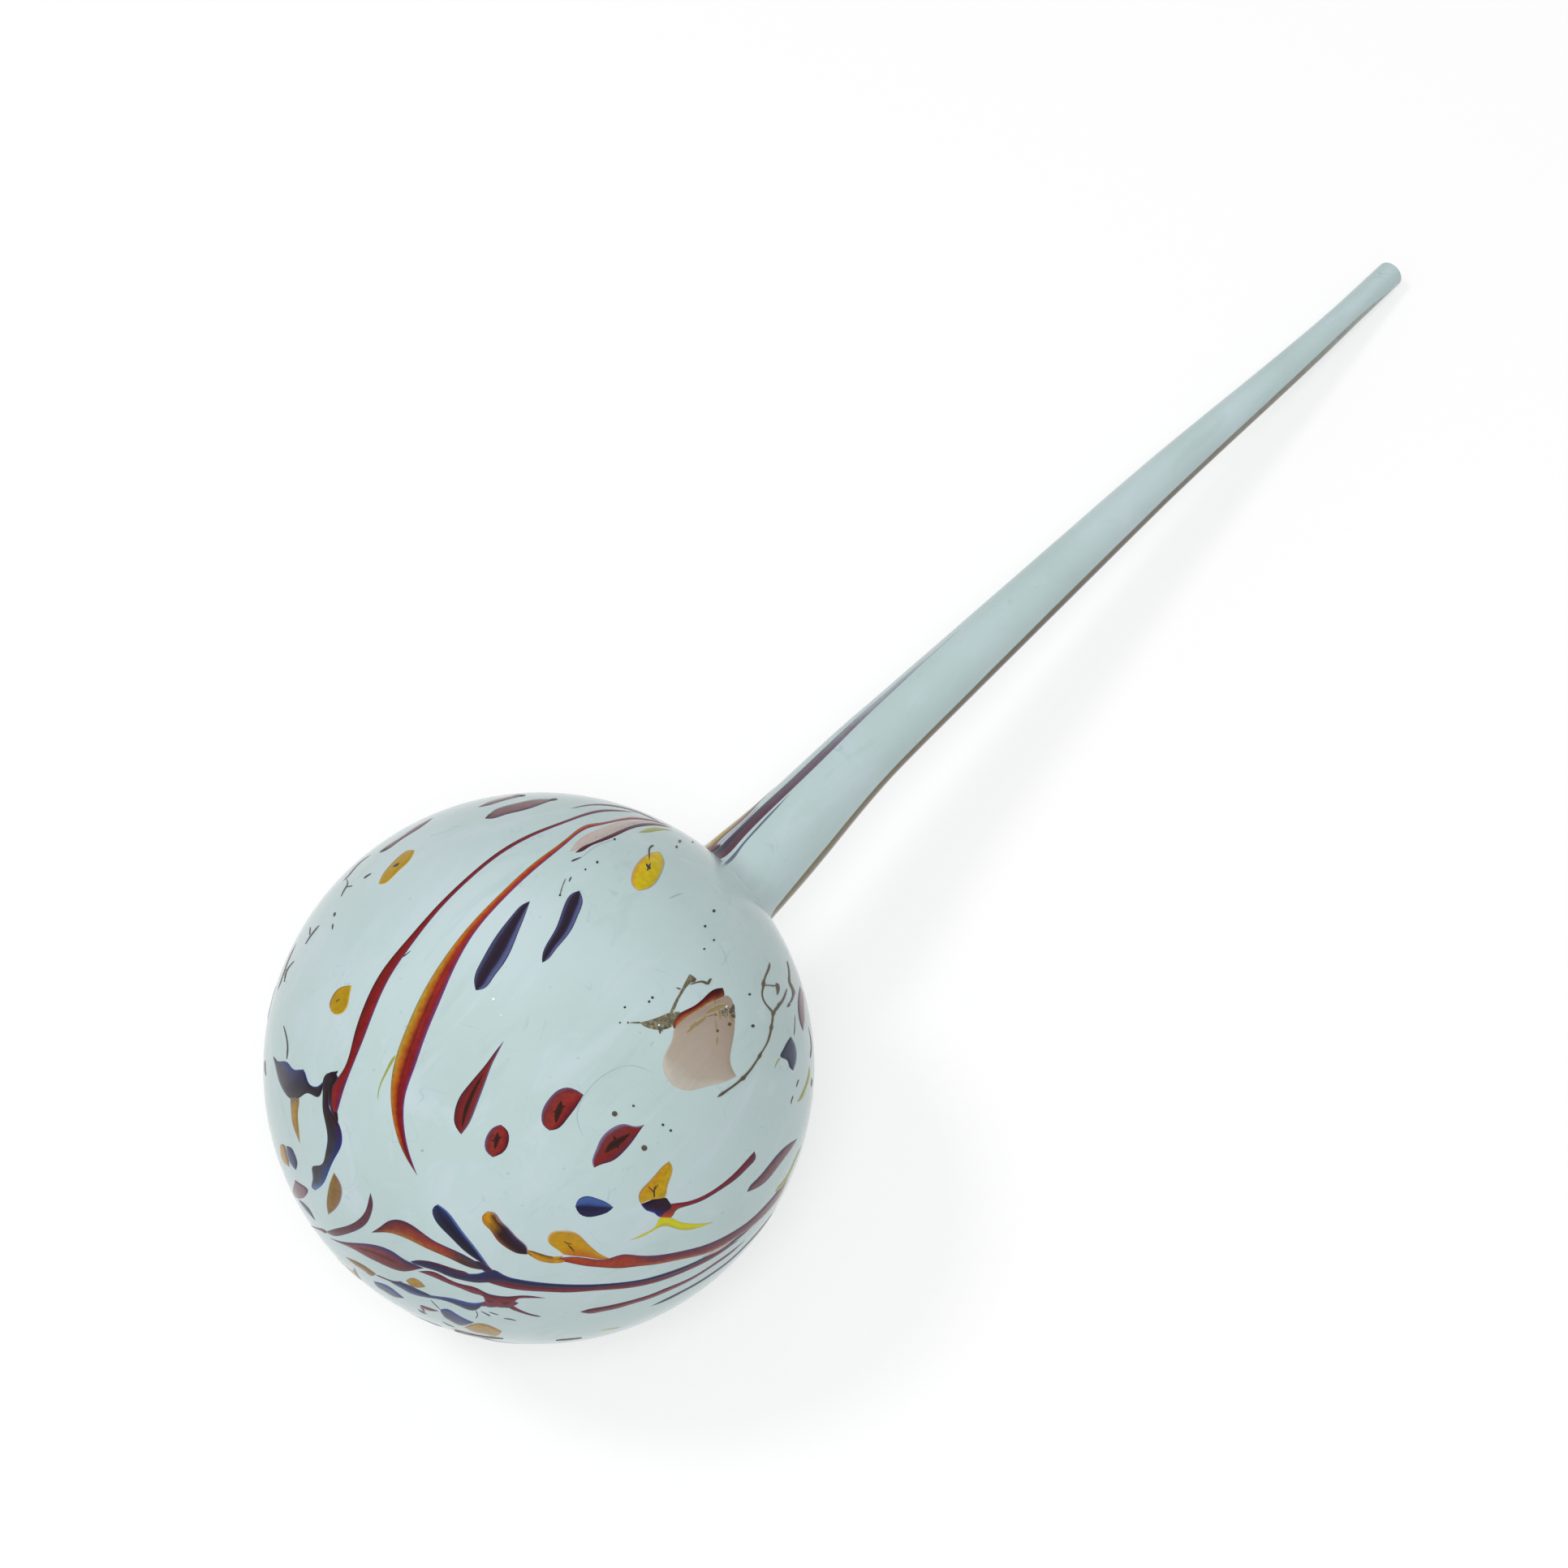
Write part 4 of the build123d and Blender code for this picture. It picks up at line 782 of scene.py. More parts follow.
# The coloured glass of the near side: each node's slot in the record, the look of each outline (the last
# look goes for all further ones), and two sides of each outline as x and y of their points, in pixels of
# the photograph. The first side runs from end to end, and the second has only its inner points.
near_pieces = {
    "gold_crust": ("gold_glass", ["crust"], [
        (788, 1260, 800, 1257, 812, 1253, 824, 1248, 838, 1246),
        (793, 1264, 804, 1268, 816, 1269, 828, 1265, 835, 1257),
        (825, 1249, 832, 1233, 840, 1219, 845, 1209, 850, 1200),
        (829, 1247, 835, 1235, 843, 1221, 850, 1212, 857, 1205),
        (846, 1273, 856, 1259, 870, 1251, 886, 1240, 902, 1236),
        (864, 1262, 880, 1252, 893, 1256, 905, 1254)]),
    "window_band": ("dark_red_glass", ["band"], [
        (831, 1268, 829, 1258, 840, 1247, 856, 1239, 870, 1227, 880, 1219, 891, 1217),
        (844, 1255, 860, 1245, 880, 1233, 893, 1226)]),
    "tan_window": ("tan_glass", ["window"], [
        (830, 1270, 828, 1282, 822, 1294, 817, 1308, 818, 1320, 828, 1336, 838, 1342, 850, 1344, 864, 1341,
         880, 1337, 894, 1333, 908, 1326),
        (845, 1254, 880, 1233, 898, 1227, 905, 1240, 906, 1254, 905, 1272, 901, 1294, 900, 1308, 903, 1318)]),
    "long_red_streak": ("red_glass", ["red_streak"], [
        (786, 1001, 740, 997, 700, 1009, 660, 1024, 620, 1045, 580, 1076, 540, 1114, 500, 1159, 469, 1198,
         449, 1237, 435, 1279, 422, 1319, 408, 1340, 405, 1360, 413, 1378),
        (740, 1000, 700, 1012, 660, 1028, 620, 1050, 580, 1082, 540, 1122, 504, 1168, 480, 1204, 461, 1245,
         446, 1284, 431, 1321, 424, 1340, 418, 1360)]),
    "navy_splash": ("navy_glass", ["splash_leg", "splash_head"], [
        (411, 1320, 401, 1324, 397, 1346, 397, 1366, 400, 1382, 403, 1402, 400, 1424, 394, 1436, 385, 1437,
         385, 1452, 384, 1464, 388, 1467),
        (416, 1328, 409, 1340, 405, 1354, 406, 1366, 414, 1379, 419, 1390, 420, 1412, 414, 1424, 406, 1440,
         394, 1463),
        (336, 1302, 340, 1307, 352, 1308, 362, 1318, 372, 1318, 381, 1336, 389, 1339, 398, 1332),
        (339, 1316, 344, 1334, 350, 1346, 358, 1354, 368, 1353, 378, 1347, 390, 1352)]),
    "orange_spike": ("olive_glass", ["spike"], [
        (357, 1352, 358, 1368, 360, 1385, 364, 1397, 369, 1409),
        (367, 1352, 367, 1366, 367, 1385, 368, 1397)]),
    "long_orange_streak": ("orange_glass", ["orange_streak"], [
        (828, 1018, 780, 1006, 740, 1013, 722, 1016, 700, 1031, 660, 1061, 620, 1097, 580, 1138, 545, 1183,
         519, 1226, 499, 1270, 485, 1312, 481, 1350, 484, 1380, 497, 1421, 514, 1449),
        (780, 1009, 740, 1016, 722, 1021, 700, 1037, 660, 1070, 620, 1108, 584, 1150, 559, 1194, 541, 1236,
         524, 1277, 510, 1317, 499, 1350, 497, 1380, 504, 1421)]),
    "tan_wedge": ("pale_tan_glass", ["wedge"], [
        (702, 1049, 708, 1040, 726, 1026, 744, 1019, 760, 1013, 780, 1010, 800, 1011),
        (712, 1046, 726, 1038, 740, 1032, 760, 1023, 780, 1015)]),
    "maroon_line": ("maroon_glass", ["maroon_line"], [
        (709, 1050, 716, 1044, 726, 1039, 740, 1033, 760, 1024, 780, 1016, 796, 1013, 812, 1014, 828, 1020),
        (716, 1049, 726, 1043, 740, 1037, 760, 1029, 780, 1020, 796, 1017, 812, 1017)]),
    "olive_streaks": ("olive_glass", ["olive"], [
        (787, 1025, 800, 1020, 812, 1019, 830, 1023),
        (800, 1025, 812, 1023),
        (983, 1358, 989, 1346, 995, 1330, 998, 1314),
        (987, 1356, 994, 1342, 999, 1326)]),
    "navy_leaves": ("navy_glass", ["navy_leaf"], [
        (586, 1220, 584, 1210, 594, 1182, 604, 1164, 616, 1146, 632, 1126, 644, 1114, 653, 1110),
        (596, 1218, 608, 1204, 620, 1188, 630, 1170, 638, 1150, 646, 1130),
        (668, 1186, 668, 1178, 674, 1162, 684, 1145, 690, 1130, 696, 1113, 704, 1101, 714, 1097),
        (675, 1182, 684, 1171, 695, 1158, 705, 1144, 713, 1126, 718, 1108)]),
    "yellow_ovals": ("yellow_glass", ["mustard_oval", "mustard_oval", "yellow_oval"], [
        (466, 1089, 469, 1081, 478, 1068, 492, 1054, 504, 1047, 511, 1047),
        (472, 1089, 480, 1084, 492, 1072, 506, 1058),
        (410, 1249, 406, 1242, 408, 1229, 420, 1216, 433, 1214),
        (417, 1250, 425, 1245, 430, 1230),
        (787, 1097, 779, 1090, 778, 1080, 788, 1060, 800, 1051, 813, 1049),
        (798, 1095, 808, 1088, 816, 1074, 819, 1061)]),
    "mauve_slivers": ("mauve_glass", ["mauve"], [
        (589, 994, 600, 988, 620, 982, 636, 979, 648, 979),
        (600, 992, 620, 986, 636, 982),
        (598, 1008, 608, 998, 620, 993, 640, 988, 660, 984, 686, 984),
        (606, 1008, 620, 1004, 640, 999, 660, 993, 676, 987),
        (468, 1050, 476, 1042, 490, 1033, 510, 1019, 533, 1007),
        (476, 1047, 490, 1037, 510, 1024, 526, 1013),
        (986, 1214, 984, 1228, 984, 1246, 987, 1262, 990, 1270),
        (989, 1220, 991, 1230, 992, 1246, 992, 1260),
        (363, 1454, 361, 1462, 360, 1470, 366, 1477, 374, 1476),
        (370, 1459, 379, 1467),
        (921, 1469, 923, 1464, 932, 1454, 946, 1438, 960, 1421, 972, 1410, 983, 1403),
        (929, 1466, 942, 1458, 956, 1442, 968, 1426, 978, 1412)]),
    "slate_drop": ("slate_glass", ["slate"], [
        (975, 1277, 969, 1286, 965, 1294, 962, 1302, 970, 1306, 974, 1316, 978, 1319),
        (979, 1284, 982, 1296, 981, 1310)]),
    "red_leaves": ("red_glass", ["red_leaf", "lavender_leaf"], [
        (621, 1282, 609, 1297, 598, 1312, 588, 1324, 577, 1337, 566, 1352, 560, 1370, 560, 1385, 568, 1398),
        (614, 1296, 606, 1312, 600, 1328, 593, 1347, 585, 1368, 577, 1386),
        (732, 1439, 730, 1434, 734, 1418, 740, 1404, 750, 1393, 760, 1387, 770, 1385, 782, 1388, 794, 1386),
        (741, 1435, 754, 1431, 768, 1420, 780, 1406, 789, 1393)]),
    "red_ovals": ("red_glass", ["red_oval"], [
        (607, 1426, 599, 1419, 597, 1409, 601, 1397, 608, 1389, 617, 1386),
        (620, 1420, 627, 1406, 625, 1393),
        (677, 1393, 669, 1386, 667, 1376, 670, 1364, 678, 1352, 688, 1343, 700, 1340, 710, 1343, 719, 1349),
        (687, 1391, 698, 1380, 710, 1364)]),
    "blue_drop": ("blue_glass", ["blue_drop"], [
        (709, 1487, 712, 1479, 722, 1474, 736, 1477, 748, 1482, 756, 1488),
        (714, 1496, 726, 1500, 738, 1498, 749, 1494)]),
    "yellow_leaf": ("yellow_glass", ["yellow_leaf"], [
        (790, 1484, 787, 1477, 788, 1470, 796, 1460, 808, 1447, 818, 1436, 825, 1431),
        (806, 1478, 820, 1476, 822, 1468, 826, 1453, 829, 1438)]),
    "red_tail": ("red_glass", ["red_tail"], [
        (812, 1499, 824, 1485, 840, 1482, 864, 1475, 880, 1466, 896, 1454, 908, 1443, 920, 1430, 930, 1419),
        (820, 1502, 828, 1500, 833, 1492, 841, 1488, 865, 1480, 881, 1471, 898, 1460, 911, 1450, 924, 1437,
         932, 1425)]),
    "dark_leaf_base": ("dark_red_glass", ["dark_base"], [
        (790, 1484, 800, 1480, 810, 1476, 821, 1476, 827, 1484, 832, 1488),
        (797, 1492, 808, 1496, 812, 1500, 822, 1497)]),
    "lime_legs": ("lime_glass", ["lime"], [
        (776, 1529, 796, 1519, 810, 1508, 812, 1502, 828, 1501, 836, 1505, 852, 1508, 864, 1508, 880, 1506),
        (796, 1522, 812, 1513, 820, 1511, 832, 1514, 846, 1516, 864, 1512)]),
    "teardrops": ("yellow_glass", ["navy_tear", "yellow_tear"], [
        (604, 1563, 586, 1552, 570, 1540, 556, 1526, 542, 1512, 534, 1500, 533, 1489, 539, 1484),
        (594, 1549, 582, 1533, 570, 1518, 560, 1504, 550, 1492),
        (650, 1546, 638, 1545, 624, 1538, 612, 1528, 602, 1514, 595, 1507, 594, 1499, 601, 1493),
        (650, 1539, 638, 1526, 626, 1513, 616, 1503, 610, 1495)]),
    "yellow_strand": ("yellow_glass", ["yellow_strand"], [
        (648, 1539, 664, 1546, 680, 1549, 694, 1548),
        (650, 1545, 662, 1551, 678, 1556)]),
    "yellow_low_leaf": ("yellow_glass", ["yellow_low"], [
        (694, 1546, 684, 1538, 675, 1530, 677, 1521, 686, 1517, 697, 1517, 709, 1519, 719, 1527, 729, 1537,
         741, 1546, 752, 1551),
        (708, 1548, 726, 1550, 740, 1552)]),
    "low_red_streak": ("red_glass", ["low_streak"], [
        (680, 1552, 706, 1549, 726, 1551, 746, 1552, 768, 1546, 784, 1547, 810, 1547, 840, 1542, 870, 1534,
         900, 1520, 924, 1504, 944, 1485, 960, 1466, 975, 1442),
        (700, 1556, 720, 1560, 740, 1562, 764, 1563, 784, 1561, 810, 1558, 840, 1552, 870, 1545, 900, 1530,
         928, 1511, 948, 1492, 964, 1470)]),
    "orange_swoosh": ("orange_glass", ["swoosh"], [
        (457, 1519, 468, 1512, 478, 1505, 488, 1503, 500, 1506, 512, 1513, 528, 1525, 544, 1534, 560, 1541,
         576, 1549, 590, 1557, 604, 1566),
        (464, 1519, 476, 1519, 492, 1523, 508, 1530, 524, 1538, 540, 1545, 560, 1554, 578, 1562)]),
    "low_red_leaf": ("red_glass", ["low_leaf"], [
        (406, 1526, 420, 1530, 440, 1532, 460, 1534, 474, 1538, 486, 1544, 496, 1551, 508, 1557, 522, 1563),
        (416, 1531, 432, 1538, 450, 1548, 468, 1557, 484, 1564, 498, 1567, 512, 1565)]),
    "navy_band": ("navy_glass", ["navy_band"], [
        (506, 1555, 520, 1556, 536, 1560, 552, 1566, 570, 1569, 592, 1569, 608, 1565, 620, 1571, 640, 1577,
         660, 1580, 700, 1583, 730, 1583, 760, 1581, 790, 1577, 820, 1569, 850, 1558, 880, 1543, 910, 1524,
         934, 1505),
        (522, 1562, 536, 1566, 550, 1572, 570, 1578, 590, 1581, 612, 1580, 640, 1584, 670, 1587, 700, 1588,
         730, 1588, 760, 1585, 790, 1581, 820, 1574, 850, 1562, 880, 1546, 910, 1527)]),
    "maroon_band": ("maroon_glass", ["maroon"], [
        (600, 1580, 612, 1579, 640, 1583, 670, 1586, 700, 1587, 730, 1587, 760, 1584, 790, 1580, 820, 1573,
         850, 1561, 880, 1545, 912, 1527),
        (612, 1584, 640, 1590, 670, 1592, 700, 1593, 730, 1591, 760, 1589, 790, 1585, 820, 1577, 850, 1565,
         880, 1550)]),
    "red_hook": ("red_glass", ["hook"], [
        (456, 1470, 454, 1478, 450, 1492, 440, 1504, 426, 1511, 410, 1515, 401, 1518),
        (459, 1482, 457, 1496, 451, 1508, 440, 1516, 426, 1521, 410, 1523)]),
    "navy_chips": ("navy_glass", ["navy_chip"], [
        (492, 1581, 504, 1587, 520, 1594, 534, 1597, 556, 1600, 572, 1604, 588, 1606, 598, 1604),
        (504, 1590, 520, 1598, 538, 1601, 556, 1606, 570, 1612, 586, 1615, 593, 1610),
        (460, 1579, 468, 1581, 480, 1586, 488, 1592, 498, 1600),
        (463, 1585, 472, 1591, 486, 1599),
        (542, 1614, 550, 1613, 560, 1618, 572, 1625, 584, 1630),
        (545, 1621, 556, 1629, 567, 1634),
        (352, 1412, 353, 1422, 357, 1434, 364, 1442),
        (358, 1414, 363, 1423, 366, 1434)]),
    "red_branch": ("red_glass", ["branch"], [
        (515, 1567, 532, 1567, 546, 1573, 560, 1580, 574, 1584, 586, 1587, 600, 1594, 612, 1597, 628, 1598,
         640, 1597, 672, 1600),
        (536, 1575, 552, 1582, 570, 1589, 586, 1595, 597, 1600, 598, 1609, 614, 1611, 632, 1610, 636, 1602,
         644, 1600)]),
    "yellow_chips": ("yellow_glass", ["yellow_chip"], [
        (500, 1578, 506, 1575, 516, 1578, 524, 1586),
        (504, 1583, 514, 1587),
        (572, 1636, 588, 1631, 604, 1634, 618, 1641),
        (584, 1642, 600, 1645, 614, 1646),
        (344, 1411, 345, 1422, 350, 1434, 356, 1438),
        (349, 1410, 352, 1417, 355, 1430)]),
    "orange_chips": ("orange_glass", ["orange_chip"], [
        (425, 1549, 440, 1555, 452, 1562, 463, 1570),
        (438, 1560, 450, 1568, 459, 1573),
        (411, 1445, 406, 1458, 403, 1472, 402, 1484, 404, 1497),
        (417, 1454, 421, 1466, 419, 1480, 412, 1491)]),
    "low_maroon_streak": ("maroon_glass", ["maroon"], [
        (715, 1617, 724, 1614, 740, 1611, 760, 1607, 780, 1602, 800, 1596, 820, 1588, 840, 1580, 860, 1570,
         880, 1557, 900, 1543, 918, 1529),
        (724, 1619, 740, 1617, 760, 1613, 780, 1607, 800, 1601, 820, 1593, 840, 1584, 860, 1573, 880, 1560,
         900, 1546)]),
    "teal_streak": ("teal_glass", ["teal"], [
        (802, 1610, 820, 1601, 840, 1591, 860, 1580, 880, 1567, 900, 1552, 920, 1533, 940, 1511, 956, 1490),
        (820, 1604, 840, 1594, 860, 1583, 880, 1570, 900, 1555, 920, 1536, 940, 1514)]),
}

# Turns in degrees at which a node's glass comes around the globe, where it isn't only the near side's 0
turns = {
    "long_red_streak": (0, 155), "long_orange_streak": (0, -128), "navy_leaves": (0, 172),
    "yellow_ovals": (0, -112), "red_leaves": (0, 160), "red_ovals": (0, -152), "blue_drop": (0, 140, -135),
    "teardrops": (0, 108), "orange_swoosh": (0, 150),
}


def nth_look(looks, number):
    return looks[min(number, len(looks) - 1)]


for node, (slot, looks_here, sides) in near_pieces.items():
    patches = Patches()
    sides_px = [np.reshape(side, (-1, 2)) for side in sides]
    for turn in turns.get(node, (0,)):
        for number, (first_px, second_px) in enumerate(zip(sides_px[::2], sides_px[1::2])):
            patches.add(on_globe(turn), first_px, second_px, nth_look(looks_here, number))
    show(patches.mesh(node + "_glass"), (node,))

# The streaks of the neck and the stem: the same, but each point of a streak is a share of the stem's
# reach and the turns of both edges there, in degrees
streak_rise = 0.6
streak_pieces = {
    "maroon_stem_streaks": ("maroon_glass", ["stem_maroon"], [
        (0.15, -27, -27, 0.18, -36, -29, 0.2, -42, -34, 0.22, -48, -39, 0.24, -52, -42, 0.265, -52, -43,
         0.29, -52, -43, 0.32, -53, -44, 0.35, -54, -47, 0.38, -56, -51, 0.41, -58, -54, 0.46, -59, -59),
        (0.15, 152, 152, 0.18, 143, 157, 0.22, 142, 153, 0.3, 142, 151, 0.42, 142, 149, 0.58, 146, 146)]),
    "slate_stem_streaks": ("slate_glass", ["stem_slate", "stem_thin", "stem_slate"], [
        (0.16, -38, -38, 0.18, -45, -33, 0.2, -51, -39, 0.22, -56, -45, 0.24, -60, -49, 0.265, -61, -49,
         0.3, -61, -49, 0.34, -62, -51, 0.38, -63, -53, 0.43, -64, -64),
        (0.17, -19, -19, 0.18, -23, -20, 0.2, -30, -27, 0.22, -35, -32, 0.235, -38, -35, 0.26, -40, -40),
        (0.165, -172, -172, 0.19, -178, -170, 0.22, -179, -171, 0.28, -179, -173, 0.36, -180, -175,
         0.45, -178, -178)]),
    "yellow_stem_streaks": ("yellow_glass", ["stem_gold"], [
        (0.165, -56, -56, 0.186, -66, -55, 0.2, -76, -60, 0.215, -84, -63, 0.228, -88, -66, 0.245, -90, -76,
         0.27, -92, -92),
        (0.185, 119, 119, 0.2, 112, 122, 0.225, 111, 119, 0.26, 111, 117, 0.31, 114, 114)]),
    "brown_stem_streaks": ("brown_glass", ["brown_line"], [
        (0.165, 80, 80, 0.185, 67, 93, 0.21, 60, 97, 0.25, 56, 98, 0.35, 57, 99, 0.45, 55, 99, 0.6, 52, 99,
         0.8, 48, 97, 0.93, 44, 95, 0.985, 70, 70)]),
}

for node, (slot, looks_here, streaks) in streak_pieces.items():
    patches = Patches()
    for number, streak in enumerate(streaks):
        spots = np.reshape(streak, (-1, 3)) * [stem_reach, 1, 1]
        patches.add(on_form, spots[:, :2], spots[1:-1, ::2], nth_look(looks_here, number), rise=streak_rise)
    show(patches.mesh(node + "_glass"), (node,))

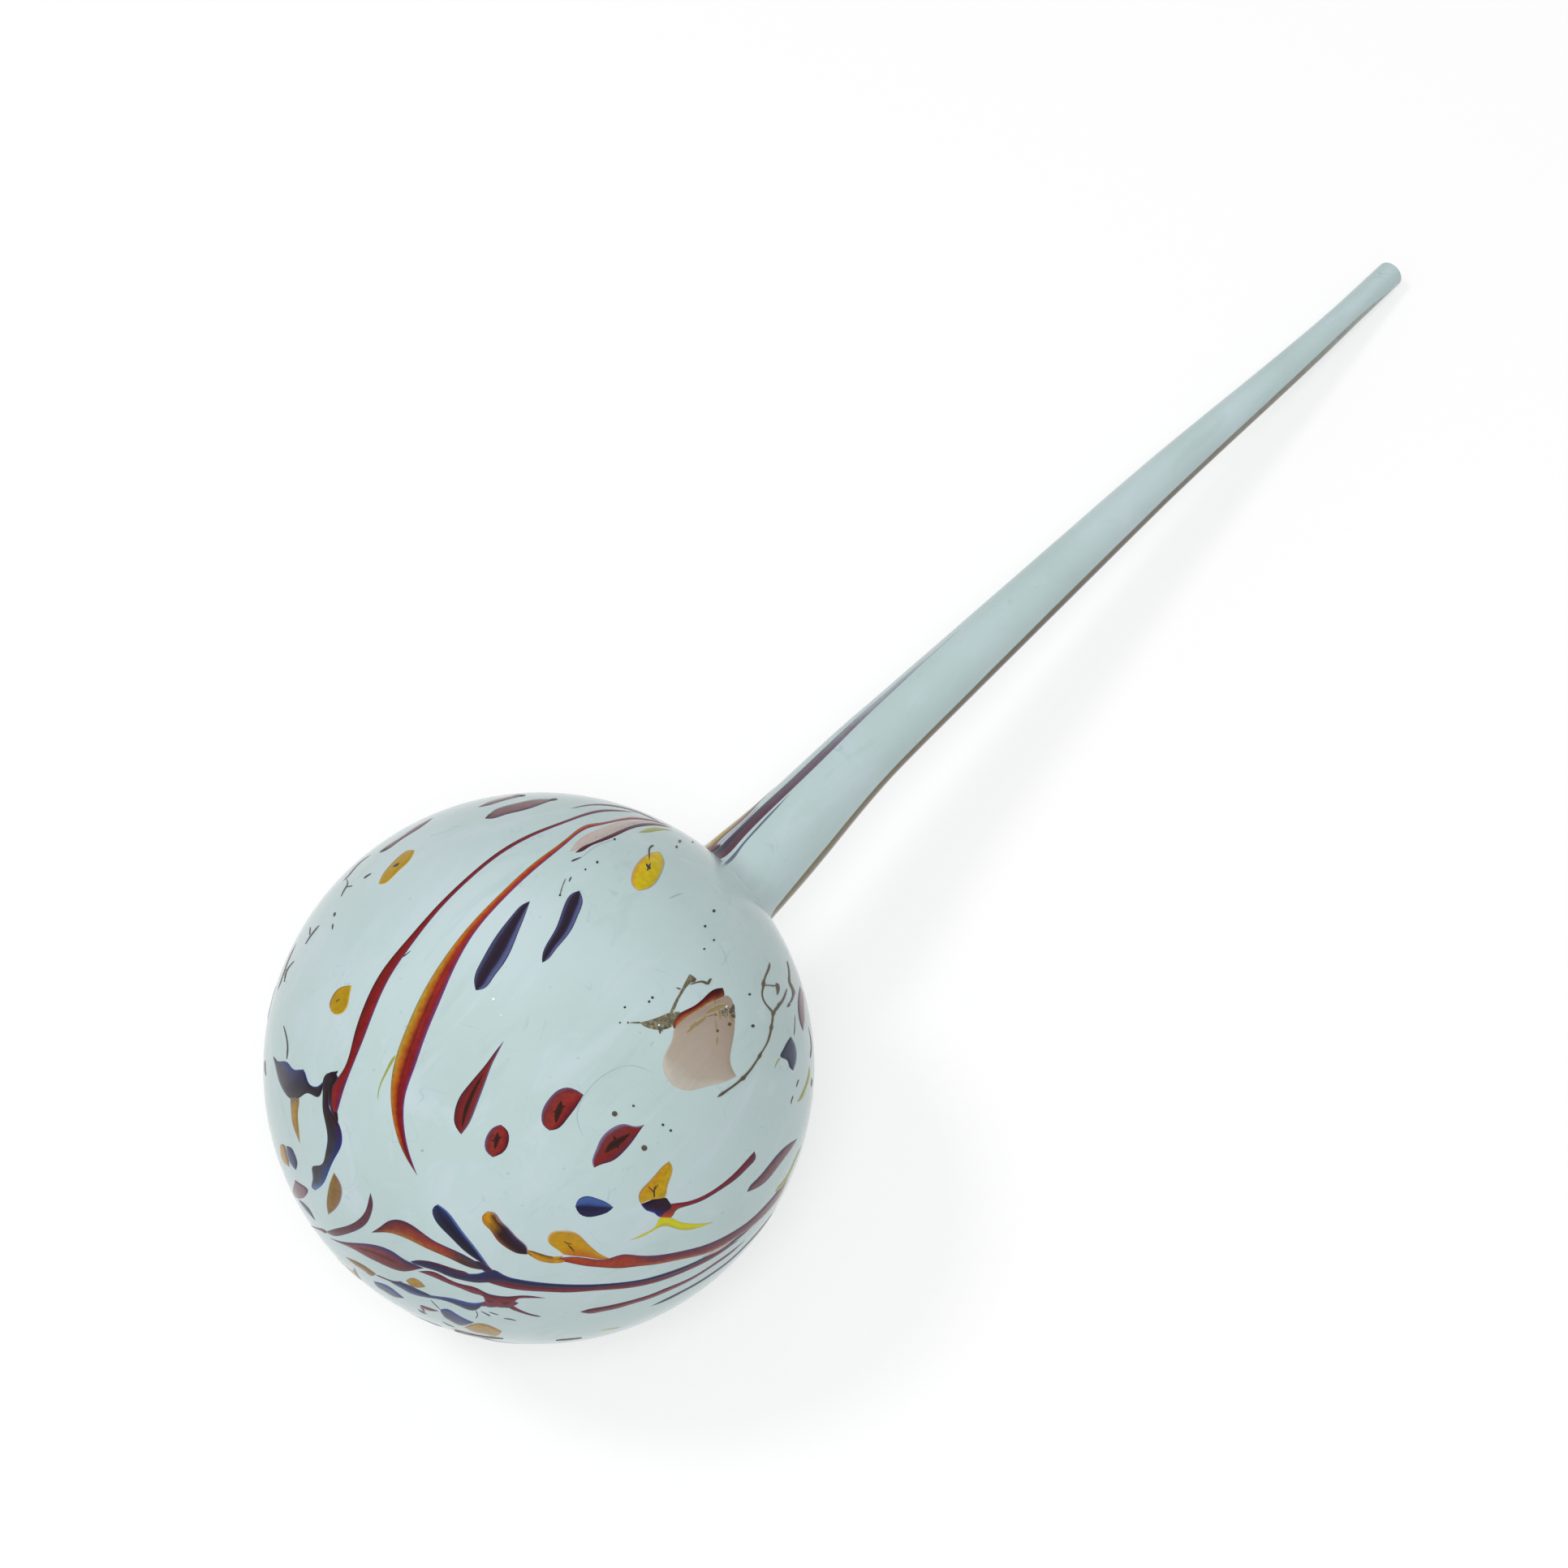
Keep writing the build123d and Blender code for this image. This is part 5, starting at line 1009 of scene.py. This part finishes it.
# Fine threads, webs and specks, drawn from the photograph: look, then x, y and width of each point, in
# pixels. The cores lie on other pieces, a dot has one point, and a mark of the neck has the share of the
# stem's reach, the turn and the width, both in degrees.
threads_px = [
    ("thread", 704, 995.6, 0.6, 726, 991.2, 1.6, 752, 991.6, 2.2, 784, 999, 2, 816, 1014, 1),
    ("olive", 487, 1300, 4, 480, 1312, 3, 473, 1326, 2, 467, 1340, 1.2, 465, 1356, 0.6),
    ("thread", 496, 1179, 1.6, 501, 1175, 1.2, 506, 1171, 0.6),
    ("splash_join", 409, 1326, 3, 406, 1340, 9, 408, 1356, 8, 412, 1372, 7, 415, 1388, 3),
    ("splash_join", 416, 1319.6, 1.4, 412, 1323, 6, 408, 1332, 7),
    ("splash_join", 402, 1322.4, 1, 402.6, 1326, 3.4, 402, 1334, 6),
    ("splash_join", 373.6, 1317.4, 1.6, 371, 1322, 5, 372, 1332, 6),
    ("splash_join", 336, 1301.6, 0.8, 338.6, 1306, 2.6, 342, 1314, 4),
    ("web", 850, 1213, 1.4, 860, 1210, 1.6, 868, 1210, 2.2, 872, 1213, 4.1),
    ("web", 872, 1213, 2.7, 875, 1209, 1.6, 877, 1205, 0.8),
    ("web", 790, 1260, 2.2, 783, 1260, 1.6, 776, 1260, 0.8),
    ("smear", 846, 1274, 2, 851, 1267, 6, 858, 1261, 7, 866, 1256, 6, 872, 1251, 3),
    ("smear", 869, 1250, 3, 878, 1245, 8, 886, 1241, 9, 895, 1239, 6),
    ("smear", 884, 1240, 4, 886, 1249, 6, 887, 1257, 3),
    ("smear", 898, 1250, 3, 901, 1256, 6, 904, 1260, 3),
    ("smear", 884, 1277, 1.6, 883.6, 1282, 4, 883, 1288, 1.6),
    ("smear", 881, 1256, 1.4, 882, 1264, 2.6, 883, 1273, 1.2),
    ("web", 904, 1237, 1.4, 902.6, 1243, 5.9, 899, 1249, 4.1),
    ("web", 899, 1249, 1.4, 901.6, 1246, 4.3, 905.6, 1247, 1.6),
    ("web", 839, 1219, 1.6, 836, 1217.6, 1.4, 833.3, 1217, 0.8),
    ("web", 871.6, 1211, 1.9, 873.6, 1208, 1.4, 875.6, 1205, 0.8),
    ("web", 812, 1265, 3.2, 813, 1269, 2.7, 813.6, 1274, 1.1),
    ("web", 812.6, 1268, 1.6, 815, 1269.6, 1.4, 817.4, 1270, 0.8),
    ("web", 852, 1209.6, 2.7, 855, 1207, 5.9, 857.6, 1205.4, 3.2),
    ("haze", 806, 1283, 1, 803, 1286.6, 1.2, 801.4, 1289, 0.7),
    ("web", 948.6, 1185.6, 2, 948, 1192, 2.6, 943, 1204, 1.8, 941, 1214, 2.2, 939.4, 1224, 1.5, 942, 1234, 1.5,
     949, 1243, 1.6, 953, 1248, 3),
    ("web", 941, 1214, 1.4, 949, 1214, 1.1, 956, 1215, 2.2),
    ("web", 957, 1211, 4.6, 959, 1217, 4.1, 958, 1226, 1.1),
    ("web", 970, 1218, 1.1, 965, 1232, 1.9, 960, 1239, 3.2, 953, 1248, 3.5),
    ("web", 970.4, 1184, 1.1, 973, 1200, 1.4, 974, 1212, 2.4, 978, 1220, 3, 978, 1226, 2.2, 972, 1239, 1.1),
    ("web", 953, 1248, 2.6, 952, 1258, 1.8, 950, 1270, 2.4, 946, 1284, 1.4, 938, 1298, 1.8, 928, 1314, 2.2,
     916, 1328, 3, 904, 1338, 2.4, 894, 1345, 2.6, 884, 1352, 4.4),
    ("web", 941.8, 1205, 0.8, 941, 1212.5, 4.6, 940.8, 1219, 0.8),
    ("web", 957, 1243.5, 1, 953.3, 1248.2, 5, 952.8, 1254, 1),
    ("web", 951.6, 1259, 0.8, 950.7, 1266, 4.4, 949.4, 1273, 0.8),
    ("web", 963.6, 1232.6, 0.8, 960.3, 1238, 4.2, 957.4, 1242.6, 0.8),
    ("web", 975, 1211, 0.8, 976.8, 1217, 2.6, 978.4, 1223, 4, 977, 1229, 0.8),
    ("web", 973.6, 1235, 0.8, 972.4, 1238.6, 3, 970.6, 1241, 0.8),
    ("web", 939, 1295, 0.8, 936.4, 1301, 4.2, 933, 1307, 0.8),
    ("web", 921, 1322.6, 0.8, 915.7, 1328.6, 5.4, 910, 1333, 1),
    ("thread", 996.7, 1264.8, 0.6, 999.6, 1280, 1.2, 1000.4, 1292, 1.8, 999, 1304, 2.4),
    ("thread", 1001, 1328, 0.8, 1001, 1334, 2.2, 1000, 1339.5, 0.8),
    ("olive", 962, 1303, 2, 958, 1309, 1.4, 955, 1316, 0.6),
    ("thread", 979, 1276, 1.2, 980, 1262, 0.8, 980, 1250, 0.5),
    ("speck", 425, 1080, 1, 428, 1088, 1.2, 424, 1096, 1, 420, 1104, 0.6),
    ("speck", 425, 1092, 1, 430, 1092, 0.9, 434, 1091, 0.6),
    ("speck", 448, 1082, 1.4, 452, 1079, 1.6, 457, 1076, 0.8),
    ("speck", 413, 1124, 2, 412, 1126, 2.2, 411, 1129, 1.4),
    ("speck", 410, 1138, 1.2, 409.5, 1141, 1.4, 409, 1145, 0.8),
    ("speck", 393, 1140, 1, 383, 1152, 1.4, 376, 1163, 0.7),
    ("speck", 382, 1142, 0.8, 381.5, 1147, 1, 381, 1152, 0.6),
    ("speck", 362, 1184, 0.8, 352, 1198, 1.2, 350, 1210, 0.7),
    ("speck", 349, 1264, 0.7, 354, 1289, 1.1, 353, 1305, 1.4),
    ("thread", 456.6, 1052.4, 0.6, 438.4, 1067, 1.8, 426.3, 1081.4, 2.2, 421.6, 1085.6, 0.8),
    ("thread", 364.6, 1162, 0.6, 356, 1180, 1.6, 348.2, 1201.3, 2.2, 341.2, 1221, 1.4),
    ("thread", 351, 1189, 1.6, 351.8, 1199.4, 1.2, 349, 1209.6, 0.7),
    ("haze", 757, 1034, 0.8, 730, 1045, 1, 712, 1058, 1.2, 703, 1060, 1.4),
    ("speck", 704, 1061, 1.8, 710, 1058.4, 1.5, 716, 1056, 0.7),
    ("speck", 697, 1082, 0.9, 693, 1092, 0.8, 690, 1102, 1.2),
    ("speck", 704, 1080, 1, 702.5, 1083, 1.8, 701, 1086, 0.9),
    ("haze", 824, 1107, 1.2, 833, 1103, 2.2, 842, 1100, 0.8),
    ("haze", 947, 1125, 0.8, 938, 1117, 1, 930, 1110, 0.8),
    ("thread", 985, 1330, 1.4, 983, 1335, 1.6, 982, 1340, 0.8),
    ("thread", 978, 1350, 1.4, 976, 1356, 1.4, 975, 1361, 0.8),
    ("olive", 956, 1469, 4, 964, 1460, 3.4, 972, 1448, 2.6, 980, 1430, 2, 988, 1412, 1),
    ("branch", 625, 1608.6, 6, 636, 1614, 3.4, 656, 1621, 2, 667, 1623, 1.6),
    ("thread", 462, 1571, 1.6, 474, 1576, 1.6, 486, 1580, 2, 496, 1580, 2.4),
    ("thread", 592, 1616, 0.7, 598, 1619, 1.2, 604.6, 1622.4, 1.8),
    ("thread", 602, 1617, 0.7, 608, 1619, 1.1, 614.5, 1621, 0.6),
    ("thread", 585.4, 1615, 0.7, 588.2, 1621, 1.2, 585.6, 1625.4, 1),
    ("navy_band", 584, 1554.5, 3, 592, 1559.5, 7, 600, 1564.5, 8, 608, 1568, 4),
    ("branch", 590, 1609, 2, 597, 1607.4, 6, 606, 1606, 6),
    ("thread", 620, 1625, 0.8, 628, 1626, 1.3, 636, 1628, 0.8),
    ("branch", 517, 1608.6, 2.4, 526, 1613, 4, 540, 1616, 1),
    ("branch", 518, 1610, 2.6, 521.6, 1615, 2.6, 523, 1619, 1.2),
    ("thread", 514.5, 1613.6, 0.8, 519.6, 1617, 2.2, 526, 1620, 0.8),
    ("thread", 530, 1602, 0.8, 536, 1608, 1, 542, 1614, 0.8),
    ("thread", 545, 1629, 0.9, 552, 1633, 1.4, 560, 1636, 0.8),
    ("web", 560, 1640, 1.6, 590, 1647, 2.2, 620, 1650, 1.4),
    ("speck", 685, 1652, 0.8, 700, 1651, 1.6, 717, 1649, 0.8),
    ("olive", 740, 1640, 0.8, 752, 1638, 1.4, 765, 1636, 0.8),
    ("navy_chip", 367, 1478, 2, 376, 1488, 5, 388, 1504, 1.2),
    ("hook", 402, 1520, 4, 396, 1516, 3.4, 390, 1514, 2, 382, 1510, 0.8),
    ("mauve", 326, 1306, 1.4, 325.6, 1316, 2.4, 327, 1326, 1.4),
    ("wedge", 864, 1550, 1, 882, 1542, 4, 902, 1530, 1.4),
    ("navy_chip", 480, 1579.5, 1.5, 494, 1584, 7, 508, 1590.6, 9, 520, 1595, 7, 532, 1598, 2.5),
    ("branch", 598, 1594, 3, 606, 1601, 9, 618, 1606, 12, 632, 1607, 8, 639, 1606, 2),
    ("navy_leaf", 674, 1166, 6, 671, 1176, 3, 668.7, 1185, 0.8),
    ("yellow_strand", 648, 1541, 4, 664, 1549, 9, 682, 1553, 8, 700, 1553, 4),
    ("navy_band", 505, 1555, 4, 520, 1557, 8, 535, 1560, 8, 560, 1568, 8, 580, 1572, 6),
    ("thread", 603, 1311, 2, 612, 1296, 1.6, 621, 1282, 0.8),
    ("haze", 721, 1404, 0.8, 711, 1377, 1.2, 724, 1344, 1.2, 752, 1320, 1, 780, 1313, 1, 806, 1323, 0.7),
]
cores_px = [
    ("core", 691.6, 1356, 1.5, 689.6, 1365, 9, 687, 1373, 6.9, 684.6, 1384, 2.1),
    ("core", 681, 1371, 1.2, 688.6, 1367, 5.1, 697, 1362, 1.2),
    ("core", 613.6, 1394, 1.5, 612, 1403.6, 6.9, 609.4, 1416, 1.8),
    ("core", 605, 1406, 1.2, 612, 1404, 4.2, 618, 1400, 1.2),
    ("core", 745, 1421, 1.2, 757, 1409.6, 10.5, 766, 1404, 7.5, 777, 1396, 1.2),
    ("core", 756, 1399, 1.2, 759.6, 1408, 5.4, 762, 1416, 1.2),
    ("core", 569, 1390, 1.5, 575, 1365, 6, 586, 1340, 4.5, 596, 1322, 1.2),
    ("vein", 806.5, 1476, 1.8, 806, 1468, 2.1, 807.6, 1460, 1.2),
    ("vein", 806.4, 1470, 1.8, 802.4, 1465.6, 1.5, 798, 1461.6, 0.9),
    ("vein", 806.4, 1466, 1.8, 809, 1462.4, 1.5, 811, 1459, 0.9),
    ("vein", 699, 1533, 1.2, 704, 1538, 2.1, 708, 1543, 1.2),
    ("vein", 694, 1529, 0.9, 699.6, 1532, 1.5, 706, 1533, 0.9),
    ("speck", 484, 1068, 1, 488, 1066, 3.4, 492, 1063, 1.2),
    ("speck", 467.6, 1050, 0.8, 473, 1046.4, 2.6, 480, 1041.6, 1),
    ("speck", 630, 981, 0.7, 640, 979.6, 1.6, 647, 979.4, 1.4),
    ("speck", 598, 1008, 0.6, 602, 1005, 2.8, 608, 1001, 0.8),
    ("speck", 676, 985.6, 0.7, 682, 984.4, 2.4, 687, 984, 1),
    ("speck", 414, 1235, 0.8, 416, 1232.5, 1.4, 419, 1231.5, 0.8),
    ("speck", 806, 1041, 2.4, 801, 1044, 2, 800, 1051, 1.4, 800, 1060, 1.4),
    ("speck", 796, 1064, 1.6, 799, 1068, 3.6, 802, 1071, 1.4),
    ("speck", 801, 1063, 1.2, 800, 1068, 3, 797, 1073, 1.4),
]
# The glint dots are painted highlights: white sparkles of light on the glass and on its crust
dots_px = [
    ("web", 757.4, 1372.4, 3.4), ("web", 794, 1414.6, 3.6), ("web", 780.6, 1362.6, 1.6), ("speck", 817, 1386, 1.6),
    ("speck", 826.6, 1393, 1.6), ("speck", 800, 1234, 1.5), ("speck", 804, 1229, 1.6), ("speck", 770, 1241, 1.4),
    ("speck", 869, 1141, 1.5), ("speck", 880, 1158, 1.2), ("speck", 868, 1169, 1.2), ("speck", 880, 1122, 1.8),
    ("speck", 928, 1264, 2), ("speck", 924, 1225, 1.5), ("speck", 736, 1062, 1.5), ("speck", 838, 1036, 1.8),
    ("speck", 834, 1043, 1.4), ("web", 774, 1260, 1.2), ("web", 764, 1260, 1.2), ("web", 903, 1252, 3.2),
    ("web", 899, 1262, 2.4), ("web", 884, 1270, 2), ("haze", 520, 1418, 2), ("glint", 608, 1231, 1.8),
    ("glint", 617, 1251, 1.1), ("glint", 812, 1263, 1.3), ("glint", 895, 1240, 1.3), ("speck", 757.4, 1033.7, 1.3),
    ("speck", 721.4, 1071, 1.1), ("speck", 690, 1102.6, 1.3), ("speck", 854, 1037, 1.1),
]
neck_marks = [
    ("maroon", 0.175, -44, 3, 0.185, -50, 8, 0.196, -56, 2),
    ("lilac", 0.175, -40, 2, 0.19, -52, 3, 0.205, -57, 5, 0.225, -61, 5, 0.24, -66, 2),
]

core_lift = 1.15
lifted_looks = ("core", "vein", "speck", "smear", "glint", "web")
repeated_looks = ("speck", "haze", "web", "thread")
beside_stem_px = 700
neck_rise, neck_lift = 0.5, 0.7


def lift_of(look):
    return core_lift if look in lifted_looks else 0


details = Patches()
near_side, far_side = on_globe(0), on_globe(180)
for look, *numbers in threads_px + cores_px:
    details.ribbon(near_side, np.reshape(numbers, (-1, 3)), look, lift_of(look))
for look, x, y, size in dots_px:
    details.dot(near_side, (x, y), size, look, lift_of(look))
# The far side has the specks and webs beside the stem again, turned half round
for look, *numbers in threads_px:
    if look in repeated_looks and numbers[0] > beside_stem_px:
        details.ribbon(far_side, np.reshape(numbers, (-1, 3)), look, core_lift)
for look, *numbers in neck_marks:
    spots = np.reshape(numbers, (-1, 3)) * [stem_reach, 1, 1]
    path, half_turn = spots[:, :2], spots[:, 2:] / 2 * [0, 1]
    first, second = path + half_turn, path - half_turn
    first[0], first[-1] = path[0], path[-1]
    details.add(on_form, first, second[1:-1], look, rise=neck_rise, lift=neck_lift)
show(details.mesh("fine_threads"), ())

# A plain pale floor that stays white around the object and keeps its shadow
floor_half_m = 2
floor_glow_reach_m, floor_glow = (0.3, 1), (0.57, 1)


def floor_material():
    """Pale floor that glows for the camera and in reflections, whiter where the lamps no longer reach."""
    nodes = Nodes("pale_floor")
    rays = nodes.node("ShaderNodeLightPath").outputs
    seen = nodes.math("MAXIMUM", rays["Is Camera Ray"], rays["Is Glossy Ray"])
    seen = nodes.math("MAXIMUM", seen, rays["Is Transmission Ray"])
    distance = nodes.node("ShaderNodeVectorMath", operation="LENGTH")
    nodes.feed(distance.inputs[0], nodes.coordinates())
    glow_share = nodes.math("MULTIPLY", seen, nodes.span(distance.outputs["Value"], floor_glow_reach_m, floor_glow))
    blend, glow = nodes.node("ShaderNodeMixShader"), nodes.node("ShaderNodeEmission")
    for socket, value in zip(blend.inputs, (glow_share, nodes.shader.outputs[0], glow.outputs[0])):
        nodes.feed(socket, value)
    nodes.feed(nodes.tree.nodes["Material Output"].inputs["Surface"], blend.outputs[0])
    return nodes.finish({"Base Color": (0.96, 0.96, 0.96, 1), "Roughness": 0.08})


floor_corners = [(x * floor_half_m, y * floor_half_m, 0) for x, y in ((-1, -1), (1, -1), (1, 1), (-1, 1))]
floor_mesh = bpy.data.meshes.new("floor")
floor_mesh.from_pydata(floor_corners, [], [(0, 1, 2, 3)])
floor_mesh.materials.append(floor_material())
floor = bpy.data.objects.new("floor", floor_mesh)
bpy.context.scene.collection.objects.link(floor)

# Light: an even white surround and two soft lamps
surround_light, surround_seen = 0.52, 1
world = bpy.data.worlds.new("studio")
world.use_nodes = True
tree = world.node_tree
background = tree.nodes["Background"]
background.inputs["Color"].default_value = (1, 1, 1, 1)
strength = tree.nodes.new("ShaderNodeMapRange")
strength.inputs["To Min"].default_value = surround_light
strength.inputs["To Max"].default_value = surround_seen
tree.links.new(tree.nodes.new("ShaderNodeLightPath").outputs["Is Camera Ray"], strength.inputs["Value"])
tree.links.new(strength.outputs["Result"], background.inputs["Strength"])
bpy.context.scene.world = world


def put(body, place_m, right, up, ahead):
    """Set a lamp or the camera at its place, looking ahead."""
    turned = Matrix(np.stack([right, up, -ahead], 1).tolist()).to_4x4()
    body.matrix_world = Matrix.Translation(place_m) @ turned
    bpy.context.scene.collection.objects.link(body)


def lamp(name, place_m, size_m, power_w, target_m=(-0.04, 0, 0.03)):
    light = bpy.data.lights.new(name, "AREA")
    light.shape = "DISK"
    light.size = size_m
    light.energy = power_w
    body = bpy.data.objects.new(name, light)
    body.visible_glossy = False
    ahead = unit(np.subtract(target_m, place_m))
    right = unit(np.cross(ahead, upward))
    put(body, place_m, right, np.cross(right, ahead), ahead)


lamp("key", place_m=(-0.5, 0.72, 1.6), size_m=0.4, power_w=7.5)
lamp("front", place_m=(-0.6, -0.45, 1.6), size_m=0.7, power_w=13.2)

# The photograph's camera
camera_data = bpy.data.cameras.new("camera")
camera_data.sensor_width = sensor_width_mm
camera_data.lens = focal_px / picture_width_px * sensor_width_mm
camera_data.clip_start = 0.01
camera = bpy.data.objects.new("camera", camera_data)
put(camera, ((globe_centre - to_globe) / mm_per_m).tolist(), view_right, view_up, view_ahead)
bpy.context.scene.camera = camera
bpy.context.scene.view_settings.view_transform = "Standard"
